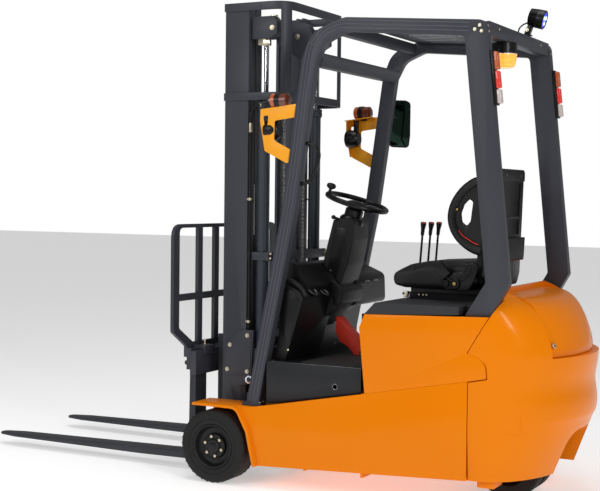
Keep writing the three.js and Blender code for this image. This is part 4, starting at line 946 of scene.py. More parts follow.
pad_line = rounded([(-1170, 958, 20), (-1174, 1240, 60), (-1196, 1450, 24), (-1208, 1450, 10),
                    (-1204, 958, 10)])
back_pad = puffed("back_foam", pad_line, -206, 206, 20, [front_only(groove(1, 130, 6, (1, 0, 0))),
        front_only(groove(1, -130, 6, (1, 0, 0))), front_only(groove(2, 1130, 4, (1, 0, 0))),
        front_only(groove(2, 1330, 4, (1, 0, 0)))], on_the_shell)
fit(back_pad, VINYL, "hood", "vinyl")
print("back pad:", len(back_pad.data.polygons), "faces")

# %% Seat back: moulded shell behind
def leaning(thing, foot=950, share=0.032):
    for corner in thing.data.vertices:
        corner.co.x -= share * max(0, corner.co.z - foot * MM)
    return thing


shell = pushed("seat_shell", rounded([(-228, 1474, 60), (228, 1474, 60), (230, 1000, 30),
                                      (196, 946, 30), (-196, 946, 30), (-230, 1000, 30)]), "x",
               -1229, -1196, 9, 4)
stand_for(leaning(shell), SMOOTH_BLACK, "seat_back")
cap = pushed("shell_cap", rounded([(-231, 1481, 60), (231, 1481, 60), (232, 1427, 4), (-232, 1427, 4)]),
             "x", -1231, -1192, 6, 3)
fit(leaning(cap), PLASTIC, "hood", "vinyl")
shell_box = pushed("document_box", rounded([(-226, 1166, 6), (226, 1166, 6), (222, 1067, 8),
                                            (-222, 1067, 8)]), "x", -1247, -1222, 3, 3)
fit(leaning(shell_box), PLASTIC, "hood", "vinyl")
hem = block("document_box_hem", (-1250, -1226), (-221, 221), (1060, 1067), 2)
fit(hem, powder("dark_red_trim", hue(70, 26, 18), hue(82, 34, 24), 0.6), "hood", "vinyl")
belt_band = block("shell_band", (-1237, -1226), (-150, 216), (1252, 1266), 2)
fit(leaning(belt_band), VINYL, "hood", "vinyl")
for k, y in enumerate((-168, 168)):
    rib = block("shell_rib_%d" % k, (-1235, -1224), (y - 5, y + 5), (1180, 1416), 3)
    fit(leaning(rib), PLASTIC, "hood", "vinyl")
for k, y in enumerate((-166, 40, 200)):
    screw = rod("cap_screw_%d" % k, at(-1246, y, 1452), at(-1249.5, y, 1452), 6)
    fit(screw, STEEL, "hood", "chrome")
print("shell dressed")

# %% [markdown]
# Two padded loops hold the driver's hips. Each is a thick roll of foam round a thinner web, and
# the web has a hole through it. The roll is a swept tube, because its section hardly changes.

# %% Hip wings
ROLL = [(-1206, 1424), (-1172, 1415), (-1128, 1384), (-1093, 1341), (-1074, 1298), (-1069, 1256),
        (-1079, 1213), (-1105, 1172), (-1144, 1139), (-1180, 1120), (-1208, 1114)]
WEB_HOLE = [(-1150, 1344, 12), (-1167, 1329, 12), (-1162, 1290, 20), (-1157, 1245, 20),
            (-1139, 1222, 14), (-1115, 1240, 16), (-1110, 1278, 20), (-1124, 1318, 20)]
for side, s in BOTH:
    roll = swept("wing_roll_" + side, smooth_path([at(x, s * 250, z) for x, z in ROLL], 5), 21, 20)
    fit(roll, VINYL, "hood", "vinyl")
    web = pushed("wing_web_" + side, rounded([(x, z, 10) for x, z in ROLL]), "y", s * 240, s * 256, 2)
    boolean(web, [pushed("cutter", rounded(WEB_HOLE), "y", s * 230, s * 266)])
    fit(eased(web, 3, 2), PLASTIC, "hood", "vinyl")
    piping = swept("wing_piping_" + side, smooth_path([at(x, s * 260, z) for x, z in (
        (-1104, 1204), (-1122, 1182), (-1150, 1164), (-1178, 1148), (-1196, 1142))], 4), 2.2, 8)
    fit(piping, RED_PAINT, "hood", "red_paint")
    stud = spun("wing_stud_" + side, [(0, -3), (6, -3), (6, 1), (4, 4), (0, 5)],
                at(-1098, s * 266, 1296), (0, s, 0), 20)
    fit(stud, BRASS, "hood", "chrome")
print("wings: 2")

# %% Recliner covers, knobs and belt latch
RECLINER = [(-1018, 973, 14), (-1040, 938, 12), (-1150, 936, 20), (-1178, 980, 30),
            (-1192, 1040, 24), (-1180, 1066, 20), (-1152, 1060, 20), (-1120, 1022, 20),
            (-1080, 1014, 12)]
for side, s in BOTH:
    case = pushed("recliner_cover_" + side, rounded(RECLINER), "y", s * 236, s * 256, 4, 3)
    fit(case, SMOOTH_BLACK, "hood", "black_plastic")
    arc = swept("recliner_rib_" + side, smooth_path([at(x, s * 256, z) for x,
                                                     z in ((-1112, 976), (-1136, 990),
            (-1156, 1014), (-1166, 1042), (-1160, 1052), (-1146, 1040), (-1132, 1016))], 4), 2.6, 8)
    fit(arc, PLASTIC, "hood", "black_plastic")
    for k, (x, radius) in enumerate(((-1090, 25), (-1046, 18))):
        knob = spun("recliner_knob_%s_%d" % (side, k), [(0, 0), (radius, 0), (radius, 8),
                                                        (radius - 4, 12), (radius - 9, 12),
                                                        (radius - 11, 8), (0, 8)],
                    at(x, s * 255, 966), (0, s, 0), 32)
        fit(knob, PLASTIC, "hood", "black_plastic")
    nut = rod("recliner_nut_" + side, at(-1090, s * 262, 966), at(-1090, s * 270, 966), 9, 6, 1)
    fit(nut, BRASS, "hood", "chrome")
    pivot = rod("recliner_pivot_" + side, at(-1090, s * 269, 966), at(-1090, s * 273, 966), 5, 16, 1)
    fit(pivot, BRASS, "hood", "chrome")
latch = pushed("belt_latch", rounded([(-984, 1040, 5), (-1024, 1072, 5), (-1072, 1012, 5),
                                      (-1036, 980, 5)]), "y", 247, 271, 4, 3)
fit(latch, SMOOTH_BLACK, "hood", "black_plastic")
stalk = swept("latch_stalk", smooth_path([at(-1048, 257, 1002), at(-1060, 258, 986),
                                          at(-1076, 258, 974)], 4), 7, 10)
fit(stalk, PLASTIC, "hood", "black_plastic")
eased_copy("seat_base", BLACK_METAL, 1.5)
for k, x in enumerate((-884, -904, -921)):
    bolt = rod("rail_bolt_%d" % k, at(x, 168, 903), at(x, 176, 903), 5, 6, 1)
    fit(bolt, ZINC, "hood", "chrome")
lever = swept("slide_bar", smooth_path([at(-800, -150, 905), at(-786, -120, 900), at(-782, 0, 899),
                                        at(-786, 120, 900), at(-800, 150, 905)], 6), 5, 10)
fit(lever, BLACK_METAL, "hood", "black_metal")
print("recliner covers and latch made")

# %% [markdown]
# ## Controls
# The three levers come up out of a gaiter box beside the seat. Each has a thin rod and a flared
# grip with a coloured cap. The dash is one large moulding in two lobes, with a slot round each
# lobe, pockets, and a column boot that bows towards the driver.

# %% Levers
box_top = 944
parts = [pushed("lever_box", rounded([(-898, 884.5, 4), (-892, 936, 24), (-860, box_top, 20),
                                      (-690, box_top, 20), (-656, 926, 24), (-652, 884.5, 4)]), "y",
                -484, -301, 6, 3)]
stand_for(welded("lever_case", parts), PLASTIC, "control_levers")
LEVER_TIP = powder("lever_tip_paint", hue(150, 62, 34), hue(170, 76, 44), 0.4)
LEVERS = [(-690, -335), (-710, -390), (-730, -445)]
for k, (x, y) in enumerate(LEVERS):
    stem = swept("lever_stem_%d" % k, smooth_path([at(x + 18, y, 936), at(x + 9, y, 1050),
                                                   at(x + 1, y, 1164)], 4), 5.5, 12)
    fit(stem, BLACK_METAL, "hood", "black_metal")
    gaiter = spun("lever_gaiter_%d" % k, [(0, 0), (26, 0), (24, 6), (20, 8), (21, 12), (15, 16),
                                          (16, 20), (10, 26), (8, 32), (0, 32)], at(x + 18, y, 938),
                  (-0.08, 0, 1), 28)
    fit(gaiter, HOSE, "hood", "black_plastic")
    lean = Vector((-0.1, 0, 1)).normalized()
    grip = spun("lever_grip_%d" % k, [(0, 0), (8, 0), (9, 8), (10, 30), (14, 52), (15, 60), (0, 60)],
                at(x + 2, y, 1158), lean, 24)
    fit(grip, SMOOTH_BLACK, "hood", "black_plastic")
    tip = spun("lever_tip_%d" % k, [(0, 0), (15, 0), (14.5, 4), (11, 7.5), (0, 8.5)],
               at(x + 2, y, 1158) + lean * 60 * MM, lean, 24)
    fit(tip, LEVER_TIP, "hood", "red_paint")
print("levers:", len(LEVERS))

# %% Dash lobes
eased_copy("dash", PLASTIC, 10, 4)
DASH_FACE = 410
fascia = pushed("dash_fascia", rounded([(-300, 720, 30), (-296, 940, 30), (-374, 894, 40),
                                        (-392, 868, 30), (-334, 650, 20)]), "y", DASH_FACE - 1,
                DASH_FACE + 3, 1.6, 2)
fit(fascia, SMOOTH_BLACK, "truck", "black_plastic")
roll_top = swept("dash_roll", smooth_path([at(x, y, z) for x, y, z in (
    (-300, 396, 962), (-350, 396, 950), (-392, 394, 922), (-410, 390, 886))], 6), 12, 14)
fit(roll_top, PLASTIC, "truck", "black_plastic")
print("dash eased")

# %% Pockets, switch panel and vents on the dash
for k, (x, y, z, wide, tall) in enumerate(((-398, 300, 905, 60, 30), (-406, 190, 893, 50, 26))):
    out = Vector((-0.62, 0, 0.78)).normalized()
    lip = spun("pocket_lip_%d" % k, [(wide / 2 - 6, 0), (wide / 2, 0), (wide / 2 + 1, 3),
                                     (wide / 2 - 3, 5), (wide / 2 - 6, 3), (wide / 2 - 6, 0)],
               at(x, y, z), out, 40)
    fit(lip, STEEL, "truck", "black_plastic")
    well = rod("pocket_well_%d" % k, at(x, y, z) - out * 4 * MM, at(x, y, z) + out * 1 * MM,
               wide / 2 - 5, 32)
    fit(well, SMOOTH_BLACK, "truck", "black_plastic")
screen = pushed("switch_panel", rounded([(-360, -330, 8), (-360, -150, 8), (-436, -150, 8),
                                         (-436, -330, 8)]), "z", 975, 984, 2, 2)
for corner in screen.data.vertices:
    corner.co.z -= (-corner.co.x + AXLE.x - 0.36) * 0.36
fit(screen, SMOOTH_BLACK, "truck", "black_plastic")
for k, (x, y, finish) in enumerate(((-392, -190, RED_LIT), (-392, -222, PLASTIC),
                                    (-392, -254, PLASTIC), (-416, -290, PLASTIC))):
    lift = (-x - 360) * 0.36
    dot = rod("dash_switch_%d" % k, at(x, y, 980 - lift), at(x, y, 988 - lift),
              7 if finish is PLASTIC else 4, 16)
    fit(dot, finish, "truck", "black_plastic")
for k in range(2):
    middle = -180 - 100 * k
    bow = [at(-459.5, middle + across, 930 - abs(across) * 0.1) for across in (30, 0, -30)]
    vent = swept("dash_slot_%d" % k, smooth_path(bow, 4), 3, 8)
    fit(vent, STEEL, "truck", "black_plastic")
knee = pushed("dash_knee", rounded([(-398, 948, 10), (-436, 936, 16), (-458, 900, 16),
                                    (-452, 826, 12), (-420, 826, 12), (-396, 900, 20)]), "y", 86,
              116, 5, 3)
fit(knee, SMOOTH_BLACK, "truck", "black_plastic")
print("dash dressed")

# %% Steering column boot
COLUMN = [(-398, 1238, 16), (-356, 1060, 60), (-340, 960, 40), (-340, 852, 10), (-424, 852, 10),
          (-440, 905, 30), (-478, 1020, 80), (-505, 1140, 80), (-507, 1226, 20), (-492, 1248, 12)]
boot = pushed("column_boot", rounded(COLUMN, 8), "y", -99, 99, 20, 5)
for corner in boot.data.vertices:
    high = min(1, max(0, (corner.co.z / MM - 960) / 280))
    corner.co.y = AXLE.y + (corner.co.y - AXLE.y) * (1 - 0.14 * high)
stand_for(boot, PLASTIC, "steering_column")
for s in (1, -1):
    recess = pushed("boot_panel_%d" % (s > 0), rounded([(-372, 960, 10), (-394, 1130, 20),
                                                        (-412, 1200, 16), (-474, 1200, 16),
                                                        (-474, 1110, 60), (-452, 1020, 60),
                                                        (-428, 944, 16)]), "y", s * 84, s * 93, 3,
                    3)
    for corner in recess.data.vertices:
        high = min(1, max(0, (corner.co.z / MM - 960) / 280))
        corner.co.y = AXLE.y + (corner.co.y - AXLE.y) * (1.08 - 0.14 * high)
    fit(recess, SMOOTH_BLACK, "truck", "black_plastic")
neck_up = Vector((-math.sin(0.3), 0, math.cos(0.3)))
hub = at(-483, 0, 1319)
collar = spun("column_collar", [(0, -110), (56, -110), (60, -98), (60, -86), (52, -76), (44, -70),
                                (44, -38), (40, -34.5), (0, -34.5)], hub, neck_up, 40)
fit(collar, SMOOTH_BLACK, "truck", "black_plastic")
for k, (y, reach) in enumerate(((92, 30), (-92, 26))):
    stalk = swept("column_stalk_%d" % k, smooth_path([at(-432, y * 0.5, 1228),
                                                      at(-424, y * 0.9, 1240),
                                                      at(-410, y + math.copysign(reach * 0.3, y),
            1247)], 4), 6, 10)
    fit(stalk, PLASTIC, "truck", "black_plastic")
    end = spun("stalk_end_%d" % k, [(0, -11), (8, -9), (11, 0), (8, 9), (0, 11)],
               at(-408, y + math.copysign(reach * 0.35, y), 1248), (0, 1, 0.2), 20)
    fit(end, PLASTIC, "truck", "black_plastic")
key = rod("column_screw", at(-392, 96, 990), at(-392, 99, 990), 7, 20)
fit(key, STEEL, "truck", "black_plastic")
print("column made")

# %% Steering wheel
STEER_R = 147
up = neck_up
right = Vector((0, 1, 0))
front = right.cross(up)


def on_wheel(radius, angle, lift):
    return hub + (front * math.cos(angle) + right * math.sin(angle)) * radius * MM + up * lift * MM


rim = swept("wheel_rim", [on_wheel(STEER_R, 2 * math.pi * k / 72, 0) for k in range(72)], 12.4, 16,
            closed=True)
stand_for(rim, SMOOTH_BLACK, "steering_wheel")
boss = spun("wheel_boss", [(0, -33), (34, -33), (44, -24), (50, -12), (46, -4), (34, 2), (28, 4),
                           (0, 5)], hub, up, 48)
fit(boss, PLASTIC, "steering_wheel", "black_plastic")
for k, a in enumerate((0.5, 2.64, -math.pi / 2)):
    arm = swept("wheel_arm_%d" % k, smooth_path([on_wheel(30, a, -16), on_wheel(80, a, -13),
                                                 on_wheel(120, a, -8), on_wheel(144, a, -2)], 5),
                11, 14)
    fit(arm, PLASTIC, "steering_wheel", "black_plastic")
KNOB_ANGLE = 0.72
knob = spun("wheel_knob", [(0, -2), (9, -2), (8, 12), (7, 32), (13, 35), (20, 40), (23, 47),
                           (22, 54), (16, 60), (8, 62), (0, 62)], on_wheel(STEER_R, KNOB_ANGLE, 0),
            up, 32)
fit(knob, SMOOTH_BLACK, "steering_wheel", "black_plastic")
print("wheel with 3 arms and a knob")
# %% [markdown]
# The brake pedal is a bright red pressing: a long plate with a return down one side. Next to it
# the floor mat lies on a thin plate, over two grey step panels with a round hole.

# %% Pedal, floor mat and steps
plate = pushed("pedal_plate", [(-428, 770), (-585, 618), (-581, 612), (-424, 764)], "y", 21, 100, 1.2)
cheek = pushed("pedal_cheek", rounded([(-428, 768, 6), (-585, 616, 6), (-578, 602, 10),
                                       (-560, 597, 8), (-524, 590, 8), (-512, 612, 8),
                                       (-474, 640, 10), (-446, 652, 10), (-424, 700, 12)]), "y", 92,
               99, 1.2)
boolean(cheek, [pushed("cutter", [(-556 + 6 * math.cos(a), 606 + 6 * math.sin(a)) for a in (
    2 * math.pi * k / 16 for k in range(16))], "y", 80, 110)])
stand_for(plate, RED_PAINT, "red_pedal")
fit(cheek, RED_PAINT, "truck", "red_paint")
eased_copy("floor", PLASTIC, 1)
FLOOR_Z = 585
mat = pushed("floor_mat", rounded([(-736, -456, 10), (-736, 456, 10), (-420, 456, 10),
                                   (-420, -456, 10)]), "z", FLOOR_Z, FLOOR_Z + 5, 1.5)
fit(mat, MAT, "truck", "black_plastic")
edge = block("floor_edge", (-736, -264), (464, 469.5), (FLOOR_Z - 12, FLOOR_Z + 1), 1.5)
fit(edge, STEEL, "truck", "slate_paint")
for side, s in BOTH:
    eased_copy("step_panel_" + side, STEP_GREY, 1.2)
    grommet = spun("step_grommet_" + side, [(10.5, 0), (14, 0), (14, 1.6), (12.5, 2.4), (10.5, 1.6),
                                            (10.5, 0)], at(-612, s * 480, 495), (0, s, 0), 32)
    fit(grommet, STEEL, "truck", "slate_paint")
for k, (x, y, z) in enumerate(((-334, 411, 636), (-410, 72, 640))):
    screw = rod("dash_screw_%d" % k, at(x, y - 2, z), at(x, y + 2.5, z), 5, 16)
    fit(screw, ZINC, "truck", "black_plastic")
print("pedal, mat and steps made")

# %% [markdown]
# ## Overhead guard
# The guard's front legs are rolled sections, and the rolls leave three long grooves that catch
# the light. Each ridge between them follows the leg round its bend and along the roof, so thin
# ribs are swept along that line, half sunk in the tube. The ribs are painted a lighter grey than
# the leg, a painted highlight along each ridge. The roof plate keeps its solid shape, because its
# slots are sharp punched edges. Bolts hold the rear corners and the feet.

# %% Guard and its ribs
eased_copy("guard", SLATE, 2)
paint("guard_roof", SLATE)
ROOF_LINE = [(-181, 392), (-360, 1300), (-451, 1950), (-486, 2030), (-530, 2080), (-585, 2104),
             (-640, 2110), (-900, 2091), (-1100, 2077), (-1216, 2068)]
GUARD_HALF, RIB_STEP, RIB_R = 472, 17, 2.6
for side, s in BOTH:
    for k, step in enumerate((-RIB_STEP, 0, RIB_STEP)):
        line = [Vector((x, 0, z)) for x, z in ROOF_LINE]
        path = []
        for i, spot in enumerate(line):
            way = (line[min(i + 1, len(line) - 1)] - line[max(i - 1, 0)]).normalized()
            out = Vector((-way.z, 0, way.x))
            path.append(at(spot.x, s * (GUARD_HALF - 0.4), spot.z) + out * step * MM)
        rib = swept("guard_rib_%s_%d" % (side, k), smooth_path(path, 6), RIB_R, 8)
        # The ribs take the lighter grey, a painted highlight along each ridge.
        fit(rib, RIB_HIGHLIGHT, "truck", "slate_paint")
print("ribs: 6")

# %% Bolts on the guard
def bolt(name, x, y, z, out, radius=8, finish=None, body="truck"):
    out = Vector(out).normalized()
    washer = rod(name + "_washer", at(x, y, z) - out * MM, at(x, y, z) + out * 2 * MM, radius * 1.5,
                 24, 0.5)
    head = rod(name + "_head", at(x, y, z) + out * 1.5 * MM, at(x, y, z) + out * radius * 0.9 * MM,
               radius, 6, 1)
    fit(welded(name, [washer, head]), finish or ZINC, body, "chrome")


for side, s in BOTH:
    for k, (x, z) in enumerate(((-1262, 2072), (-1240, 2056), (-1270, 2048))):
        bolt("roof_bolt_%s_%d" % (side, k), x, s * GUARD_HALF, z, (0, s, 0), 5)
    for k, (x, z) in enumerate(((-1288, 2070), (-1293, 2046))):
        bolt("corner_bolt_%s_%d" % (side, k), x, s * 449, z, (-1, 0, 0.05), 5)
    for k, y in enumerate((434, 464)):
        bolt("foot_bolt_%s_%d" % (side, k), -215, s * y, 386, (0, 0, 1), 6)
for k, y in enumerate((-300, 300)):
    bolt("beam_bolt_%d" % k, -1288, y, 2073, (-1, 0, 0), 5)
seam = swept("roof_seam", smooth_path([at(-560, 426, 2098), at(-700, 426, 2118),
                                       at(-1230, 426, 2080)], 8), 3, 8)
fit(seam, SLATE, "truck", "slate_paint")
print("guard bolted")

# %% [markdown]
# ## Lamps
# Each tail lamp is three lenses in one dark case: amber over red over clear. The beacon is an
# amber dome on a black base. It is lit, so its lens gives off some light of its own.

# %% Tail lamps
def rear_of_leg(z):
    return -1290 - 118 * (2094 - z) / (2094 - 985)


LAMP = [("amber", 1884, 1962, AMBER_DARK), ("red", 1806, 1882, RED_LIT), ("clear", 1742, 1804, CLEAR)]
for side, s in BOTH:
    case = pushed("tail_lamp_case_" + side, [(rear_of_leg(1736) - 1, 1736),
                                             (rear_of_leg(1966) - 1, 1966),
                                             (rear_of_leg(1966) - 16, 1966),
                                             (rear_of_leg(1736) - 16, 1736)], "y", s * 434, s * 464,
                  2)
    stand_for(case, SMOOTH_BLACK, "tail_lamp_" + side)
    for name, low, high, finish in LAMP:
        glass = pushed("tail_lens_%s_%s" % (name, side),
                       [(rear_of_leg(low) - 14, low), (rear_of_leg(high) - 14, high),
                        (rear_of_leg(high) - 34, high - 2), (rear_of_leg(low) - 34, low + 2)], "y",
                       s * 434.5, s * 463.5, 6, 4)
        fit(glass, finish, "truck", "red_lens")
print("tail lamps: 2")

# %% Beacon
BEACON_TOP = 2033.7
base = spun("beacon_base", [(0, 0), (54, 0), (56, -4), (56, -40), (60, -44), (60, -50), (0, -50)],
            at(-1262, 148, BEACON_TOP), (0, 0, 1), 56)
stand_for(base, SMOOTH_BLACK, "beacon")
dome = spun("beacon_dome", [(0, -48), (56, -48), (56.5, -56), (54, -60), (54.5, -70), (52, -80),
                            (50, -96), (46, -104), (38, -109), (0, -110)],
            at(-1262, 148, BEACON_TOP), (0, 0, 1), 56)
fit(dome, AMBER_LIT, "truck", "amber_lens")
band = spun("beacon_band", [(54, -46), (58, -46), (58.5, -49), (57, -52), (54, -52), (54, -46)],
            at(-1262, 148, BEACON_TOP), (0, 0, 1), 56)
fit(band, CHROME, "truck", "chrome")
print("beacon made")

# %% Blue spot lamp
lamp_from, lamp_to = at(-1362, -124, 2163), at(-1290, -118, 2182)
toward = (lamp_from - lamp_to).normalized()
profile = [(0, 0), (30, 0)]
for k in range(6):
    start = 2 + 7 * k
    profile += [(34 + k * 1.6, start), (40 + k * 0.7, start + 1), (40 + k * 0.7, start + 3.5),
                (34 + k * 1.6, start + 4.5)]
profile += [(43, 46), (43.5, 50), (43.5, 72), (40, 74.4), (37, 74.4), (37, 66), (0, 66)]
body_of_lamp = spun("spot_lamp_body", profile, lamp_to, toward, 48)
stand_for(body_of_lamp, SMOOTH_BLACK, "blue_lamp")
glass = spun("spot_lamp_glass", [(0, 60), (37, 60), (37, 70), (30, 72), (0, 73)], lamp_to, toward, 40)
fit(glass, BLUE_LIT, "truck", "lamp_blue")
across = toward.cross(Vector((0, 0, 1))).normalized()
tall = across.cross(toward)
for k in range(3):
    a = 2 * math.pi * k / 3 + 0.4
    heart = lamp_to + toward * 72 * MM + (across * math.cos(a) + tall * math.sin(a)) * 16 * MM
    eye = spun("spot_lamp_eye_%d" % k, [(0, 0), (10, 0), (9, 3), (5, 5), (0, 5.6)], heart, toward, 24)
    fit(eye, lens("spot_white_%d" % k, hue(190, 205, 255), hue(120, 150, 255), 2.2), "truck",
        "lamp_blue")
foot = block("spot_lamp_foot", (-1300, -1258), (-138, -102), (2094.3, 2100), 1.5)
fit(foot, SMOOTH_BLACK, "truck", "lamp_blue")
bracket = pushed("spot_lamp_bracket", rounded([(-1292, 2098), (-1266, 2098), (-1276, 2130, 6),
                                               (-1292, 2150, 10), (-1312, 2150, 10)]), "y", -132,
                 -108, 2)
fit(bracket, SMOOTH_BLACK, "truck", "lamp_blue")
bolt("spot_bolt", -1282, -108, 2122, (0, 1, 0), 6)
wire = swept("spot_lamp_cable", smooth_path([at(-1250, -85, 2094.4), at(-1250, -86, 2120),
                                             at(-1264, -95, 2142), at(-1294, -112, 2158)], 8), 3.5,
             10)
fit(wire, HOSE, "truck", "hose_rubber")
print("spot lamp made")

# %% Work lamps: the yellow guard plate
def front_of_leg(z):
    return -330 - (90 * (z - 1300)) / (1960 - 1300)


for side, s in BOTH:
    face = pushed("lamp_guard_" + side, rounded([(-208, 1744, 14), (-270, 1750, 10),
                                                 (front_of_leg(1762) + 1, 1764),
                                                 (front_of_leg(1500) + 1, 1500), (-346, 1496, 4),
                                                 (-232, 1552, 14), (-206, 1690, 24)]), "y", s * 466,
                  s * 469.4)
    boolean(face,
            [pushed("cutter", rounded([(-282, 1690, 12), (-480, 1716), (-480, 1500),
                                       (-280, 1600, 14)]), "y", s * 460, s * 474),
             pushed("cutter", rounded([(-222, 1712, 8), (-250, 1716, 8), (-242, 1640, 5),
                                       (-234, 1640, 5)]), "y", s * 460, s * 474)])
    stand_for(eased(face, 1, 2), GUARD_YELLOW, "work_lamp_" + side)
    flange = pushed("lamp_guard_top_" + side, [(-208, 1740), (-360, 1757), (-360, 1761),
                                               (-208, 1744)], "y", s * 416, s * 468, 1)
    fit(flange, GUARD_YELLOW, "truck", "body_paint")
    lip = pushed("lamp_guard_front_" + side, [(-206, 1742), (-210, 1743), (-210, 1690),
                                              (-234, 1556), (-230, 1554), (-206, 1688)], "y",
                 s * 440, s * 468, 1)
    fit(lip, GUARD_YELLOW, "truck", "body_paint")
    shell = spun("work_lamp_shell_" + side, [(0, 0), (30, 0), (40, -10), (45, -26), (46, -60),
                                             (44, -66), (40, -66), (38, -60), (0, -60)],
                 at(-288, s * 430, 1648), (-1, 0, 0), 40)
    fit(shell, SMOOTH_BLACK, "truck", "black_plastic")
    glass = spun("work_lamp_glass_" + side, [(0, -62), (38, -62), (38, -60), (0, -58)],
                 at(-288, s * 430, 1648), (-1, 0, 0), 40)
    fit(glass, CLEAR, "truck", "body_paint")
    stay = block("work_lamp_stay_" + side, (-282, -258), sorted((s * 422, s * 438)), (1688, 1742), 2)
    fit(stay, SMOOTH_BLACK, "truck", "black_plastic")
    for name, x0, x1, radius, finish in (("front", -256, -282, 33, AMBER_DARK),
                                         ("waist", -282, -306, 35.5, SMOOTH_BLACK),
                                         ("rear", -306, -348, 33,
                                          lens("smoked_" + side, hue(120, 50, 22), hue(64, 22, 10),
                                               0.0))):
        long = abs(x1 - x0)
        end = [(radius - 9, long - 2), (0, long)] if name == "rear" else [(radius, long), (0, long)]
        ends = [(0, 0), (radius - 6, 0), (radius, 5)] if name == "front" else [(0, 0), (radius, 0)]
        signal = spun("signal_%s_%s" % (name, side), ends + [(radius, long - 9)] + end,
                      at(x0, s * 448, 1782), (-1, 0, 0), 36)
        fit(signal, finish, "truck", "amber_lens")
    pillar = block("signal_foot_" + side, (-318, -292), sorted((s * 438, s * 458)), (1742, 1756), 1)
    fit(pillar, SMOOTH_BLACK, "truck", "black_plastic")
print("work lamps: 2")

# %% Mirror and grab handle
MIRROR_TURN = 0.7
MIRROR_Y = 78 * math.cos(MIRROR_TURN) + 7 * math.sin(MIRROR_TURN) - 611
case = pushed("mirror_case", rounded([(-78, 112, 26), (-50, 124, 26), (66, 122, 26), (78, 60, 26),
                                      (78, -40, 26), (36, -122, 30), (-70, -124, 24),
                                      (-78, -60, 24)], 8), "x", -7, 4, 3, 3)
glass = pushed("mirror_face", rounded([(-70, 106, 22), (-46, 116, 22), (60, 114, 22), (70, 56, 22),
                                       (70, -36, 24), (32, -114, 26), (-62, -116, 20),
                                       (-70, -58, 20)], 8), "x", -7.4, -5.5, 0.6, 2)
for thing in (case, glass):
    carried(thing, AXLE, at(-448, MIRROR_Y, 1730), -MIRROR_TURN, "Z")
stand_for(case, SMOOTH_BLACK, "mirror")
fit(glass, MIRROR, "truck", "black_plastic")
arm = swept("mirror_arm", smooth_path([at(-436, -472.5, 1762), at(-438, -500, 1766),
                                       at(-442, -530, 1764), at(-444, MIRROR_Y + 4, 1762)], 6), 8,
            14)
fit(arm, BLACK_METAL, "truck", "black_metal")
eased_copy("grab_handle", SMOOTH_BLACK, 1, 2, 60, 60)
print("mirror and handle made")
# %% [markdown]
# ## Mast
# The two mast stages keep their solid shape with eased edges. The near side shows a bright rolled
# corner, two clamp plates with bolts, and a cover plate near the foot. A thin tube and a hose run
# up beside the cylinder and meet in a silver union.

# %% Mast stages
for node in ("outer_mast", "inner_mast", "carriage"):
    eased_copy(node, SLATE, 2)
STAGE, TOP_STAGE = BODY_OF["outer_mast"], BODY_OF["inner_mast"]
for side, s in BOTH:
    plate = pushed("mast_foot_plate_" + side, rounded([(-90, 700), (-22, 700, 10), (60, 619, 10),
                                                       (60, 486, 22), (-80, 482)]), "y", s * 321,
                   s * 326, 1.5)
    fit(plate, SLATE, STAGE, "slate_paint")
    for k, (x, z) in enumerate(((-66, 678), (44, 510), (-66, 505), (30, 628))):
        bolt("mast_plate_bolt_%s_%d" % (side, k), x, s * 326, z, (0, s, 0), 7, None, STAGE)
    for k, z in enumerate((580, 602, 1048, 1070)):
        bolt("mast_clamp_bolt_%s_%d" % (side, k), -167, s * 290, z, (-1, 0, 0), 6, None, STAGE)
    for k, (x, z) in enumerate(((60, 1818), (60, 2243), (-120, 1818), (-120, 2243))):
        rivet = spun("cage_rivet_%s_%d" % (side, k), [(0, 0), (7, 0), (6, 2), (3, 3.4), (0, 3.8)],
                     at(x, s * 322, z), (0, s, 0), 20)
        fit(rivet, SLATE, STAGE, "slate_paint")
    for k, x in enumerate((-180, -158)):
        bolt("head_bolt_%s_%d" % (side, k), x, s * 278, 2196, (0, 0, 1), 7, None, TOP_STAGE)
    bolt("head_side_bolt_" + side, -165, s * 292, 2142, (0, s, 0), 8, None, TOP_STAGE)
    bolt("sheave_bolt_" + side, -160, s * 27, 2130, (0, s, 0), 9, None, TOP_STAGE)
    strip = block("mast_corner_" + side, (-51.2, -49), sorted((s * 252, s * 308)), (700, 2240), 0.8)
    fit(strip, SLATE, STAGE, "slate_paint")
for k, (y, z) in enumerate(((150, 2160), (-150, 2160), (210, 2160), (-210, 2160))):
    bolt("head_plate_bolt_%d" % k, -50, y, z, (-1, 0, 0), 6, None, TOP_STAGE)
lug = swept("lifting_lug", smooth_path([at(-50, 28, 2170), at(-84, 28, 2186), at(-84, 66, 2186),
                                        at(-50, 66, 2170)], 6), 6, 12)
fit(lug, ZINC, TOP_STAGE, "chrome")
print("mast dressed")

